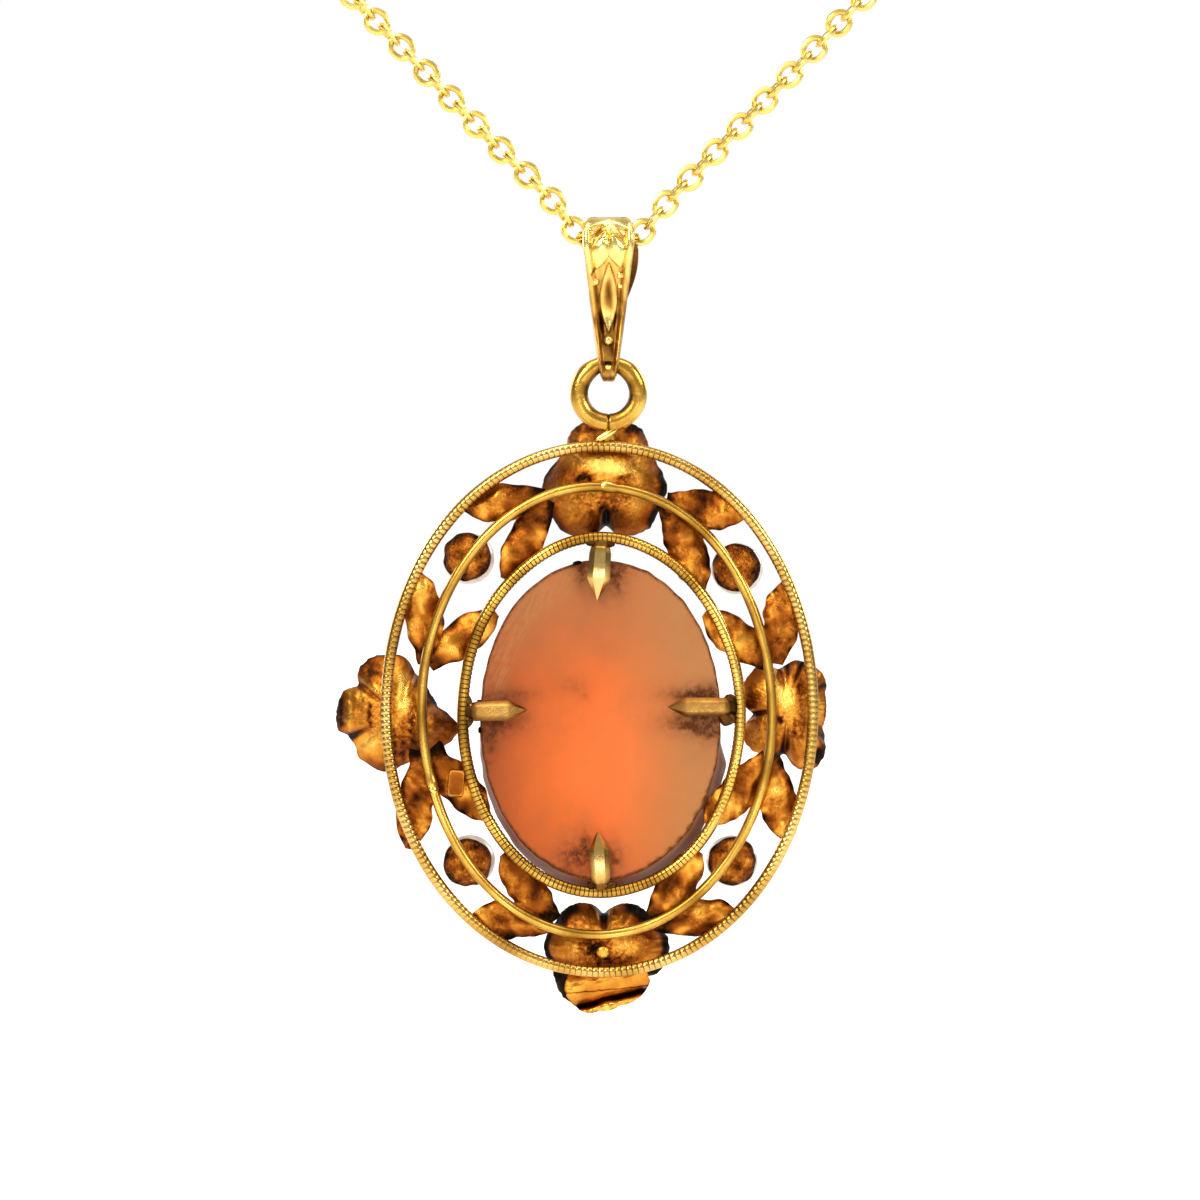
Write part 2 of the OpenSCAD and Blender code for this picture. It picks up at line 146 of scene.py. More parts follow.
# A light tent: pure white to the eye, and in the metal darker towards the camera, so that the middles of
# the wires go deep and their edges stay bright
world = bpy.data.worlds.new("lightTent")
world.use_nodes = True
sky = world.node_tree
sky.nodes.clear()
heading = addNode(sky, "TexCoord").outputs["Generated"]
heading = addNode(sky, "SeparateXYZ", None, {0: heading}).outputs
behind = addNode(sky, "Math", {"operation": "MULTIPLY_ADD", 1: 0.5, 2: 0.5}, {0: heading[1]}).outputs[0]
tentColour = addNode(sky, "ValToRGB", {"stops": room["tent"]}, {0: behind}).outputs["Color"]
tentBright = addNode(sky, "Math", {"operation": "MULTIPLY_ADD", 1: room["tentStrength"] * room["topShare"],
                                             2: room["tentStrength"]}, {0: heading[2]}).outputs[0]
seen = addNode(sky, "LightPath")
inMetal = addNode(sky, "Background", None, {0: tentColour, 1: tentBright})
toEye = addNode(sky, "Background", {0: linearColour("#FFFFFF"), 1: 1.0})
skyMix = addNode(sky, "MixShader", None,
                 {0: seen.outputs["Is Camera Ray"], 1: inMetal.outputs[0], 2: toEye.outputs[0]})
addNode(sky, "OutputWorld", None, {0: skyMix.outputs[0]})
bpy.context.scene.world = world

around = turns(128)
floorPoints = np.stack([np.cos(around), np.sin(around), np.zeros(128)], 1) * room["floorRadius"]
floorMesh = bpy.data.meshes.new("floor")
floorMesh.from_pydata(floorPoints.tolist(), [], [list(range(128))])
floor = bpy.data.objects.new("floor", floorMesh)
floor.location = (0, 0, room["floorHeight"])
bpy.context.scene.collection.objects.link(floor)
floorPaint, tree = newMaterial("mattWhitePaperFloor")
# white paper lit from below the table, brighter to the eye than in the metal
toEye = addNode(tree, "LightPath").outputs["Is Camera Ray"]
paperGlow = addNode(tree, "Math", {"operation": "MULTIPLY_ADD", 1: room["floorGlow"][1],
                                             2: room["floorGlow"][0]}, {0: toEye}).outputs[0]
surface = addNode(tree, "BsdfPrincipled", {
    "Base Color": linearColour(room["floorColour"]), "Roughness": 0.9,
    "Emission Color": linearColour("#FFFFFF")}, {"Emission Strength": paperGlow})
addNode(tree, "OutputMaterial", None, {0: surface.outputs[0]})
floorMesh.materials.append(floorPaint)
print("room ready")


# Surfaces

def gridPart(points, grimeAndPaintedLight=0.0, rowsClose=False, colsClose=False, caps=False, grain=0.3):
    # Rows by columns of points, neighbours joined by four-sided faces. Caps close each end of the rows
    # with a fan round the end row's mean point. Grime with painted light, and grain, are kept for each point.
    rows, cols = points.shape[:2]
    flat = points.reshape(-1, 3)
    dark = np.broadcast_to(grimeAndPaintedLight, (rows, cols)).astype(float).reshape(-1)
    rough = np.broadcast_to(grain, (rows, cols)).astype(float).reshape(-1)
    i = np.arange(rows if rowsClose else rows - 1)[:, None]
    j = np.arange(cols if colsClose else cols - 1)[None, :]
    i2, j2 = (i + 1) % rows, (j + 1) % cols
    quads = np.stack([i * cols + j + 0 * j2, i2 * cols + j, i2 * cols + j2, i * cols + j2], -1).reshape(-1, 4)
    fans = np.zeros((0, 3), int)
    if caps:
        k = np.arange(cols)
        k2 = (k + 1) % cols
        flat = np.vstack([flat, points[0].mean(0), points[-1].mean(0)])
        dark = np.concatenate([dark, [dark[:cols].mean(), dark[-cols:].mean()]])
        rough = np.concatenate([rough, [rough[:cols].mean(), rough[-cols:].mean()]])
        first, last = rows * cols, rows * cols + 1
        fans = np.vstack([np.stack([k, k2, 0 * k + first], 1),
                          np.stack([(rows - 1) * cols + k2, (rows - 1) * cols + k, 0 * k + last], 1)])
    return outward({"points": flat, "quads": quads, "fans": fans, "grimeAndPaintedLight": dark, "grain": rough})


def outward(part):
    # The volume under all faces is negative where they point inwards, and then they are turned round
    p = part["points"]
    triangles = np.vstack([part["quads"][:, [0, 1, 2]], part["quads"][:, [0, 2, 3]], part["fans"]])
    a, b, c = (p[triangles[:, k]] - p.mean(0) for k in range(3))
    if np.einsum("ij,ij->", a, np.cross(b, c)) < 0:
        part["quads"], part["fans"] = part["quads"][:, ::-1], part["fans"][:, ::-1]
    return part


def putPiece(name, parts, material, body, replaced=(), sharp=40):
    # Joins the parts into one mesh: points in metres, four-sided faces first and fans after them
    starts = np.cumsum([0] + [len(p["points"]) for p in parts])
    points = np.vstack([p["points"] for p in parts]) / 1000
    quads = np.vstack([p["quads"] + s for p, s in zip(parts, starts)])
    fans = np.vstack([p["fans"] + s for p, s in zip(parts, starts)])
    loops = np.concatenate([quads.reshape(-1), fans.reshape(-1)]).astype(np.int32)
    begin = np.concatenate([np.arange(len(quads)) * 4, len(quads) * 4 + np.arange(len(fans)) * 3])
    mesh = bpy.data.meshes.new(name)
    mesh.vertices.add(len(points))
    mesh.vertices.foreach_set("co", points.astype(np.float32).reshape(-1))
    mesh.loops.add(len(loops))
    mesh.loops.foreach_set("vertex_index", loops)
    mesh.polygons.add(len(begin))
    mesh.polygons.foreach_set("loop_start", begin.astype(np.int32))
    mesh.update(calc_edges=True)
    mesh.validate()
    for key in ("grimeAndPaintedLight", "grain"):
        value = mesh.attributes.new(key, "FLOAT", "POINT")
        value.data.foreach_set("value", np.concatenate([p[key] for p in parts]).astype(np.float32))
    mesh.polygons.foreach_set("use_smooth", np.ones(len(mesh.polygons), bool))
    mesh.set_sharp_from_angle(angle=math.radians(sharp))
    mesh.materials.append(material)
    piece = bpy.data.objects.new(name, mesh)
    bpy.context.scene.collection.objects.link(piece)
    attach(piece, body)
    if replaced:
        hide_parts(*replaced)
    return piece


def ripple(u, v, seed, size, waves=9):
    # Sum of sine waves with seeded directions, lengths near size and phases, from about -1 to 1
    dice = np.random.default_rng(seed)
    turn, phase = dice.uniform(0, 2 * math.pi, (2, waves))
    length = size * dice.uniform(0.6, 1.7, waves)
    u, v = np.broadcast_arrays(u, v)
    wave = np.sin((u[..., None] * np.cos(turn) + v[..., None] * np.sin(turn)) * 2 * math.pi / length + phase)
    return wave.sum(-1) / math.sqrt(waves) * 0.8


def onFrame(points):
    return points + layout["middle"]


def placeOn(angle, rim):
    # A place on the openwork: an angle in degrees and a rim number, 0 inner, 1 middle, 2 outer
    a = math.radians(angle)
    low = 0 if rim <= 1 else 1
    share = rim - low
    wide, tall, drop = (layout[k][low] * (1 - share) + layout[k][low + 1] * share
                        for k in ("halfWide", "halfTall", "rimDrop"))
    return np.array([wide * math.cos(a), tall * math.sin(a) - drop])


# Gold finishes

def goldFinish(name, tones, shine, grit):
    # Cast, drawn and stamped 14 carat gold. The grime value takes the tone from bright metal through orange toning
    # to the brown black of old polish and dirt, and makes the gloss duller; it also carries the painted shade and
    # painted highlights that the pieces set on their points. Grain lets the small specks and pits show, as on solder
    # and inside stamped sheet.
    material, tree = newMaterial(name)
    place = addNode(tree, "TexCoord").outputs["Object"]
    dark = addNode(tree, "Attribute", {"attribute_name": "grimeAndPaintedLight"}).outputs["Fac"]
    gritty = addNode(tree, "Attribute", {"attribute_name": "grain"}).outputs["Fac"]
    cloud = addNode(tree, "TexNoise", {"Scale": grit["cloudScale"], "Detail": 5.0, "Roughness": 0.62},
                    {"Vector": place}).outputs["Fac"]
    speck = addNode(tree, "TexNoise", {"Scale": grit["speckScale"], "Detail": 4.0, "Roughness": 0.65},
                    {"Vector": place}).outputs["Fac"]
    cloudOff = addNode(tree, "Math", {"operation": "MULTIPLY_ADD", 1: grit["cloud"],
                                                2: -grit["cloud"] / 2}, {0: cloud}).outputs[0]
    speckOff = addNode(tree, "Math", {"operation": "MULTIPLY_ADD", 1: grit["speck"],
                                                2: -grit["speck"] / 2}, {0: speck}).outputs[0]
    speckOff = addNode(tree, "Math", {"operation": "MULTIPLY"}, {0: speckOff, 1: gritty}).outputs[0]
    mottled = addNode(tree, "Math", {"operation": "ADD"}, {0: dark, 1: cloudOff}).outputs[0]
    toned = addNode(tree, "Math", {"operation": "ADD", "use_clamp": True},
                    {0: mottled, 1: speckOff}).outputs[0]
    tone = addNode(tree, "ValToRGB", {"stops": tones}, {0: toned}).outputs["Color"]
    gloss = addNode(tree, "MapRange", {1: 0.0, 2: 1.0, 3: shine[0], 4: shine[1]}, {0: toned}).outputs[0]
    pits = addNode(tree, "Math", {"operation": "MULTIPLY"}, {0: speck, 1: gritty}).outputs[0]
    height = addNode(tree, "Math", {"operation": "MULTIPLY_ADD", 1: grit["soft"]},
                     {0: cloud, 2: pits}).outputs[0]
    bump = addNode(tree, "Bump", {"Strength": 1.0, "Distance": grit["depth"]}, {"Height": height})
    surface = addNode(tree, "BsdfPrincipled", {"Metallic": 1.0},
                      {"Base Color": tone, "Roughness": gloss, "Normal": bump.outputs[0]})
    addNode(tree, "OutputMaterial", None, {0: surface.outputs[0]})
    return material


chainTones = [(0.0, "#FBE694"), (0.3, "#EDD06C"), (0.55, "#C4A03E"), (0.8, "#7C5A1C"), (1.0, "#34240C")]
creamTones = [(0.0, "#F2D288"), (0.28, "#CBA04E"), (0.52, "#926B2D"), (0.78, "#4E3014"), (1.0, "#241508")]
bailTones = [(0.0, "#FFE894"), (0.28, "#E6BE64"), (0.52, "#A67632"), (0.78, "#553412"), (1.0, "#1C0F05")]
rimTones = [(0.0, "#FFDF7C"), (0.28, "#E2B554"), (0.52, "#A2772A"), (0.78, "#523410"), (1.0, "#1E1307")]
paleTones = [(0.0, "#F6DA94"), (0.28, "#D2A85C"), (0.52, "#8E642E"), (0.78, "#4A3014"), (1.0, "#140C06")]
sheetTones = [(0.0, "#FFDA70"), (0.2, "#F2B44A"), (0.4, "#CC842E"), (0.58, "#985218"), (0.76, "#603010"),
              (0.9, "#301809"), (1.0, "#160C06")]
# Grain scales are per metre: cloud patches of about 1 mm, specks of about 0.2 mm
chainGold = goldFinish("drawnGoldChainWire", chainTones, (0.27, 0.5),
                       {"cloudScale": 500, "speckScale": 4000, "cloud": 0.2, "speck": 0.1, "soft": 0.1,
                        "depth": 0.00001})
bailGold = goldFinish("castGoldBail", bailTones, (0.25, 0.5),
                      {"cloudScale": 1100, "speckScale": 5500, "cloud": 0.3, "speck": 0.4, "soft": 0.25,
                       "depth": 0.00003})
rimGold = goldFinish("drawnGoldRimWire", rimTones, (0.16, 0.5),
                     {"cloudScale": 800, "speckScale": 5000, "cloud": 0.35, "speck": 0.3, "soft": 0.2,
                      "depth": 0.00003})
beadGold = goldFinish("milledGoldWire", creamTones, (0.2, 0.5),
                      {"cloudScale": 800, "speckScale": 5000, "cloud": 0.3, "speck": 0.3, "soft": 0.2,
                       "depth": 0.00003})
prongGold = goldFinish("paleSolderedGold", paleTones, (0.12, 0.5),
                       {"cloudScale": 1000, "speckScale": 5000, "cloud": 0.3, "speck": 0.7, "soft": 0.1,
                        "depth": 0.00004})
sheetGold = goldFinish("stampedSheetGold", sheetTones, (0.22, 0.52),
                       {"cloudScale": 900, "speckScale": 4800, "cloud": 0.34, "speck": 1.1, "soft": 0.35,
                        "depth": 0.00012})
print("gold finishes ready")


# Chain: 359 interlocking oval links along the loop that the solid tube gives

chain = {
    "length": 406.0, "sideAngle": 47.0, "bendRadius": 3.2, "links": 359,
    "wire": 0.38, "wide": 1.64, "endGap": 4.255,   # from the clasp's middle to the last link's middle
    "twist": 8.0,                                # degrees that edge-on links lean from edge-on
    "seenLinks": 40,                              # links on each side of the bail with finer meshes
    # how much higher than the plain V each side hangs near the bail: distance along it, rise
    "rise": {-1: [(0, 0.12), (1.2, 0.12), (2.3, 0.22), (3.4, 0.56), (4.7, 0.64), (6.6, 0.51), (10, 0.28), (16, 0.15),
                  (22, 0)],
             1: [(0, 0.12), (1.2, 0.12), (2.0, 0.14), (2.6, 0.16), (3.5, 0.24), (4.5, 0.4), (6.5, 0.36), (10, 0.27),
                 (16, 0.1), (22, 0)]},
    "drawn": {-1: 0.26, 1: 0.12},                 # the links nearest the bail are drawn apart by this in all
}


def plainLine(s):
    # Arc length from the lowest point: a small arc inside the bail, a straight side, a round top
    slope = math.radians(chain["sideAngle"])
    bend = chain["bendRadius"]
    loop = (chain["length"] + 2 * bend * (math.tan(slope) - slope)) / (2 * math.tan(slope) + 2 * math.pi - 2 * slope)
    bendMiddle = -loop - (loop - bend) / math.cos(slope)
    bendEnd = bend * slope
    straight = (loop - bend) * math.tan(slope)
    a = np.minimum(s / bend, slope)
    onStraight = np.clip(s - bendEnd, 0, straight)
    onRound = np.maximum(s - bendEnd - straight, 0) / loop
    turn = slope + onRound
    x = np.where(onRound > 0, loop * np.sin(turn), bend * np.sin(a) + onStraight * math.cos(slope))
    z = np.where(onRound > 0, -loop - loop * np.cos(turn),
                 bendMiddle - bend * np.cos(a) + onStraight * math.sin(slope))
    return x, z


def chainLine(numbers):
    # Each side is the plain line with its small rise near the bail. The links are set at even steps of
    # its own length, from the bail to the clasp, and this gives their middles and directions.
    middles, tangents = np.zeros((len(numbers), 3)), np.zeros((len(numbers), 3))
    half = (chain["links"] - 1) / 2
    s = np.linspace(0, chain["length"] / 2, 6001)
    for side in (-1, 1):
        x, z = plainLine(s)
        rise = np.interp(s, *np.array(chain["rise"][side]).T)
        window = np.hanning(31) / np.hanning(31).sum()
        z = z + np.convolve(np.pad(rise, 15, mode="edge"), window, "valid")
        run = np.concatenate([[0], np.cumsum(np.hypot(np.diff(x), np.diff(z)))])
        ours = numbers * side > 0 if side < 0 else numbers >= 0
        at = np.abs(numbers[ours]) * (run[-1] - chain["endGap"] - chain["drawn"][side]) / half
        at = at + chain["drawn"][side] * (1 - np.exp(-np.abs(numbers[ours]) / 2.5))
        middles[ours] = np.stack([side * np.interp(at, run, x), 0 * at, np.interp(at, run, z)], -1)
        ahead = np.stack([np.interp(at + d, run, x) for d in (-0.5, 0.5)])
        up = np.stack([np.interp(at + d, run, z) for d in (-0.5, 0.5)])
        ahead[0] = np.where(at < 0.5, -ahead[1], ahead[0])
        up[0] = np.where(at < 0.5, up[1], up[0])
        tangents[ours] = np.stack([ahead[1] - ahead[0], 0 * at, side * (up[1] - up[0])], -1)
    return middles, tangents / np.linalg.norm(tangents, axis=1, keepdims=True)


def chainLinks(numbers, steps, sides):
    # A link is a round wire carried round an oval. Each is laid along the chain's line, even ones
    # face-on and odd ones nearly edge-on, so that each passes through the next.
    pitch = (chain["length"] / 2 - chain["endGap"]) * 2 / (chain["links"] - 1)
    middle, tangent = chainLine(numbers)
    across = np.stack([-tangent[:, 2], 0 * tangent[:, 0], tangent[:, 0]], -1)
    depth = np.array([0.0, 1.0, 0.0])
    wobble = ripple(numbers * 1.0, 0 * numbers, 5, 9.0)
    odd = numbers % 2 == 1
    lean = np.where(odd, 90 - chain["twist"] * np.sign(numbers) * (1 + 0.4 * wobble), 7 * wobble)
    # inside the bail the links lie turned by half a quarter, so that they pass under its top
    lean = lean + 48 * np.clip(1 - np.abs(numbers) / 2, 0, 1)
    twist = np.radians(lean)
    upright = across * np.cos(twist)[:, None] + depth * np.sin(twist)[:, None]
    flat = depth * np.cos(twist)[:, None] - across * np.sin(twist)[:, None]
    wire = chain["wire"] / 2
    halfLong, halfWide = pitch / 2 + chain["wire"] / 2, chain["wide"] / 2 - wire
    u = turns(steps)[:, None]
    v = turns(sides)[None, :]
    out = np.stack([np.cos(u) * halfWide, np.sin(u) * halfLong], -1)
    out = out / np.linalg.norm(out, axis=-1, keepdims=True)
    local = np.stack([np.cos(u) * halfLong + out[..., 0] * wire * np.cos(v),
                      np.sin(u) * halfWide + out[..., 1] * wire * np.cos(v), wire * np.sin(v) + 0 * u], -1)
    axes = np.stack([tangent, upright, flat], 1)
    points = middle[:, None, None, :] + np.einsum("ijk,nkl->nijl", local, axes)
    # painted shade: each link darker on its inner side and at its ends, where the next links pass through
    dark = 0.1 + 0.32 * (0.5 - 0.5 * np.cos(v)) + 0.1 * np.cos(u) ** 8
    one = gridPart(points[0], dark, True, True)
    shift = np.arange(len(numbers))[:, None, None] * steps * sides
    return {"points": points.reshape(-1, 3), "quads": (one["quads"][None] + shift).reshape(-1, 4),
            "fans": one["fans"], "grimeAndPaintedLight": np.tile(one["grimeAndPaintedLight"], len(numbers)),
            "grain": np.tile(one["grain"], len(numbers))}


half = (chain["links"] - 1) // 2
numbers = np.arange(-half, half + 1)
seenOnes = np.abs(numbers) <= chain["seenLinks"]
putPiece("chainLinksNear", [chainLinks(numbers[seenOnes], 24, 8)], chainGold, "necklace", ["chain"])
putPiece("chainLinksFar", [chainLinks(numbers[~seenOnes], 14, 5)], chainGold, "necklace", ["chain"])
print("chain ready")


def ringPart(middle, radius, wire, grimeAndPaintedLight=0.15, steps=72, sides=16, uneven=0.0, seed=1):
    # Torus in the XZ plane: a round wire carried round a circle, its surface moved by a fine ripple
    u = turns(steps)[:, None]
    v = turns(sides)[None, :]
    r = wire / 2 * (1 + uneven * ripple(radius * np.cos(u) + 0 * v, radius * np.sin(u) + v, seed, 1.6))
    x = (radius + r * np.cos(v)) * np.cos(u)
    z = (radius + r * np.cos(v)) * np.sin(u)
    points = np.stack([x, r * np.sin(v) + 0 * u, z], -1) + np.array(middle)
    return gridPart(points, grimeAndPaintedLight + 0 * u * v, True, True)


clasp = {"outside": 5.6, "wire": 1.0, "eyelet": 1.9, "eyeletWire": 0.5}
claspParts = [ringPart((0, 0, 0), (clasp["outside"] - clasp["wire"]) / 2, clasp["wire"], 0.12, 96, 20)]
claspSpan = clasp["outside"] / 2 + clasp["eyelet"] / 2 - clasp["wire"] / 2
claspParts += [ringPart((side * claspSpan, 0, 0), (clasp["eyelet"] - clasp["eyeletWire"]) / 2, clasp["eyeletWire"],
                        0.18, 40, 12) for side in (-1, 1)]
putPiece("claspRing", claspParts, chainGold, "necklace", ["clasp"])
print("clasp ready")


# Bail: one folded strap with rolled borders, two leaves, a bud and small grains on its front leg

bail = {
    "tall": 10.2, "wide": 3.2, "strap": 0.4, "border": (0.04, 0.31), "borderRise": 0.12, "ground": 0.14,
    "topEye": (-146.542, 1.374), "lowEye": (-153.872, 0.696), "waist": -150.952,
    # share of height from the top, share of width
    "outline": [(0, 0.7), (0.03, 0.88), (0.07, 0.98), (0.13, 1.01), (0.2, 0.99), (0.3, 0.9), (0.55, 0.7),
                (0.8, 0.47), (0.93, 0.35), (0.97, 0.31), (0.99, 0.26), (1, 0.18)],
    "rear": (0.38, 1.0, 5.2),           # the rear leg bulges out to the right: how far, from and to which height
    "gable": (0.42, 0.45),              # the border's pointed top: its height and slope
    # across and down from the top: root, tip, width, rise and fullness of each leaf and of the bud
    "leaves": [((-0.1, 0.85), (-0.74, 3.5), 1.12, 0.24, 1.35), ((0.12, 0.85), (0.76, 3.4), 1.12, 0.24, 1.35),
               ((0.02, 3.05), (0.0, 7.3), 1.14, 0.24, 1.05)],
    # across, down, radius, rise
    "grains": [(0.0, 7.8, 0.3, 0.3), (-0.82, 4.25, 0.22, 0.12), (0.72, 3.85, 0.2, 0.12), (0.7, 4.5, 0.15, 0.08),
               (-0.02, 9.5, 0.2, 0.08)],
    # across, down, half width, half height, turn, depth
    "pockets": [(-0.64, 1.13, 0.15, 0.44, 40, 0.12), (0.78, 1.2, 0.06, 0.4, -38, 0.04), 
                (-0.02, 9.25, 0.2, 0.16, 0, 0.16),
                (-0.42, 6.7, 0.09, 0.7, -8, 0.1), (0.4, 6.6, 0.06, 0.5, 8, 0.05), (-0.95, 3.62, 0.08, 0.25, 30, 0.06),
                (-0.17, 1.7, 0.06, 0.12, 0, 0.1), (-1.0, 0.12, 0.22, 0.08, 0, 0.1), (0.95, 0.12, 0.22, 0.08, 0, 0.1)],
}


def bailSideLine(count):
    # Half outline of the strap from the side, from the top down to the bottom: an arc round the top eye,
    # a straight side to the waist, a straight side to the low eye and an arc round it
    (z1, r1), (z3, r3), (z2, r2) = bail["topEye"], bail["lowEye"], (bail["waist"], 0.0)
    r1, r2, r3 = r1 + bail["strap"], r2 + bail["strap"], r3 + bail["strap"]
    upper = math.asin((r1 - r2) / (z1 - z2))
    lower = math.asin((r3 - r2) / (z2 - z3))
    a = np.linspace(math.pi / 2, -upper, 60)
    top = np.stack([r1 * np.cos(a), z1 + r1 * np.sin(a)], 1)
    waistTop = [[r2 * math.cos(upper), z2 - r2 * math.sin(upper)]]
    b = np.linspace(lower, -math.pi / 2, 60)
    low = np.stack([r3 * np.cos(b), z3 + r3 * np.sin(b)], 1)
    line = np.vstack([top, waistTop, low])
    run = np.concatenate([[0], np.cumsum(np.linalg.norm(np.diff(line, axis=0), axis=1))])
    at = np.linspace(0, run[-1], count)
    x, z = np.interp(at, run, line[:, 0]), np.interp(at, run, line[:, 1])
    # the bend at the waist is eased over some two millimetres
    wide = int(count * 0.17) // 2 * 2 + 1
    window = np.hanning(wide) / np.hanning(wide).sum()
    eased = np.convolve(np.pad(x, wide // 2, mode="edge"), window, "valid")
    share = np.clip(1.6 - np.abs(z - bail["waist"]) / 1.1, 0, 1)
    return np.stack([x + (eased - x) * share * share * (3 - 2 * share), z], 1)


def bladeShare(x, z, root, tip, wide, full):
    # Along the line from root to tip the half width follows a sine, so both ends are pointed. Gives the
    # rise, 1 on the middle line and 0 at the edge, and the places across and along.
    run = np.array(tip) - np.array(root)
    long = math.hypot(run[0], run[1])
    u = ((x - root[0]) * run[0] + (z - root[1]) * run[1]) / long ** 2
    v = ((x - root[0]) * run[1] - (z - root[1]) * run[0]) / long
    half = wide / 2 * np.sin(np.pi * np.clip(u, 0, 1) ** full) ** 0.9 + 1e-4
    inside = (u > 0) & (u < 1)
    return np.clip(1 - (v / half) ** 2, 0, 1) * inside, np.clip(v / half, -1, 1), np.clip(u, 0, 1)


def bailRelief(x, z, half):
    # Height on the front leg over the strap's face, and how dark it is: rolled borders that meet in a
    # pointed top, a sunk ground, and on that the leaves, the bud and the grains. x runs across, z down.
    edge = half - np.abs(x)
    wide = bail["border"][0] + bail["border"][1] * half
    gable = bail["gable"][0] + bail["gable"][1] * np.abs(x)
    below = ramp(z - gable, 0.25)
    inField = ramp(edge - wide * 0.75, 0.2) * below * ramp(9.95 - z, 0.3)
    low = ramp(z - 0.15, 0.5) * ramp(10.1 - z, 0.5)
    border = hump(edge - wide * 0.5, wide * 0.42) * low
    ridge = hump(z - gable + 0.02, 0.14) * (edge > 0.1)
    rise = bail["borderRise"] * np.maximum(border, 0.9 * ridge) - bail["ground"] * inField
    # darker towards the bottom; the sunk ground and a line along the foot of each border get painted shade
    dark = 0.06 + 0.4 * ramp(z - 2.8, 2.6) + 0.16 * inField - 0.02 * np.maximum(border, ridge)
    dark = dark + 0.14 * inField * hump(edge - wide * 1.1, 0.08)
    for index, (root, tip, broad, high, full) in enumerate(bail["leaves"]):
        body, across, along = bladeShare(x, z, root, tip, broad, full)
        # painted shade along each leaf's outline and in the bud's hollow
        rim = hump(np.abs(across) - 1, 0.14) * (body > 0)
        if index < 2:
            top = high * body ** 0.8 + 0.014 * np.cos(across * 11 + along * 5) * body
            leafDark = 0.0 + 0.3 * rim
        else:
            hollow = hump(across, 0.55) * np.sin(np.pi * along) ** 0.5
            top = high * body ** 0.6 - 0.17 * hollow
            leafDark = 0.12 + 0.6 * hollow * hump(along - 0.44, 0.24, 4) + 0.3 * rim
        top = top - bail["ground"]
        rise = np.where(body > 0, np.maximum(rise, top), rise)
        dark = np.where((body > 0) & (top >= rise - 1e-6), leafDark, dark)
    for gx, gz, r, high in bail["grains"]:
        body = np.sqrt(np.clip(1 - ((x - gx) ** 2 + (z - gz) ** 2) / r ** 2, 0, 1))
        rise = np.where(body > 0, np.maximum(rise, high * body - 0.1), rise)
        dark = np.where(body > 0.3, 0.08, dark)
    for px, pz, w, h, turn, deep in bail["pockets"]:
        c, s = math.cos(math.radians(turn)), math.sin(math.radians(turn))
        u, v = (x - px) * c + (z - pz) * s, (z - pz) * c - (x - px) * s
        hole = spotAt(u, w, v, h, 4)
        rise = rise - deep * hole
        # each pocket is sunk and darkened with painted shade
        dark = dark + 0.42 * hole
    return rise, dark


def bailPart():
    # The strap's section is carried down the front, under the low eye, up the rear and over the top.
    # Its outer face takes the relief, its inner face lies one strap's thickness inside.
    front = bailSideLine(420) * [-1, 1]
    line = np.vstack([front, bailSideLine(110)[-2:0:-1]])
    steps = len(line)
    tangent = np.roll(line, -1, 0) - np.roll(line, 1, 0)
    tangent /= np.linalg.norm(tangent, axis=1, keepdims=True)
    normal = np.stack([tangent[:, 1], -tangent[:, 0]], 1)
    normal *= np.sign(normal[:, :1] * line[:, :1] + 1e-9)
    normal[0], normal[len(front) - 1] = (0, 1), (0, -1)
    down = layout["bailTop"] + bail["borderRise"] - line[:, 1]
    shares = np.array(bail["outline"])
    half = np.interp(down / (bail["tall"] + 2 * bail["borderRise"]), shares[:, 0], shares[:, 1]) * bail["wide"] / 2
    across = np.sin(np.linspace(-1, 1, 61) * math.pi / 2 * 0.93) / math.sin(math.pi / 2 * 0.93)
    x = half[:, None] * across[None, :]
    isFront = (np.arange(steps) < len(front))[:, None]
    depth = down[:, None] + 0 * x
    rise, dark = bailRelief(x, depth, half[:, None])
    edge = half[:, None] - np.abs(x)
    rise = np.where(isFront, rise + 0.012 * ripple(x, depth, 9, 0.9), 0)
    dark = np.where(isFront, dark + 0.1 * ripple(x, depth * 0.4, 8, 0.6), 0.5)
    rise = rise - 0.2 * np.clip(1 - edge / 0.14, 0, 1) ** 2      # round the strap's long edges off
    outer = np.stack([x, line[:, None, 0] + normal[:, None, 0] * rise, line[:, None, 1] + normal[:, None, 1] * rise],
                     -1)
    inset = bail["strap"] - 0.02
    inner = np.stack([x, line[:, None, 0] - normal[:, None, 0] * inset + 0 * x,
                      line[:, None, 1] - normal[:, None, 1] * inset + 0 * x], -1)[:, ::-1]
    out, begin, end = bail["rear"]
    bulge = np.where(isFront[:, 0], 0, np.sin(ramp(down - begin, end - begin) * math.pi))
    loop = np.concatenate([outer, inner], 1)
    loop[..., 0] += (out * bulge)[:, None]
    dark = np.clip(np.concatenate([dark, np.full_like(dark, 0.6)], 1), 0, 1)
    return gridPart(loop, dark, True, True, grain=0.35)


putPiece("bailStrap", [bailPart()], bailGold, "bail", ["bail"])
print("bail ready")


# Rims: three oval wires, the inner and outer ones milled with fine grooves

rims = [
    # name, rim number, wire, grooves, groove depth, tarnish in the grooves, middle's shift, growth, squareness
    ("innerRim", 0, 0.70, 219, 0.13, 0.85, (0.06, 0.1), 0.0, 0.004),
    ("middleRim", 1, 0.62, 0, 0.0, 0.0, (-0.21, 0.01), 0.0, 0.003),
    ("outerRim", 2, 0.70, 265, 0.05, 0.65, (-0.04, 0.11), 0.04, 0.0075),
]
groovePhases = [0.0, 0.385, 0.43, 0.5, 0.57, 0.615]     # rings along one groove's step
grooveDips = [0.0, 0.0, 0.85, 1.0, 0.85, 0.0]         # how deep each lies


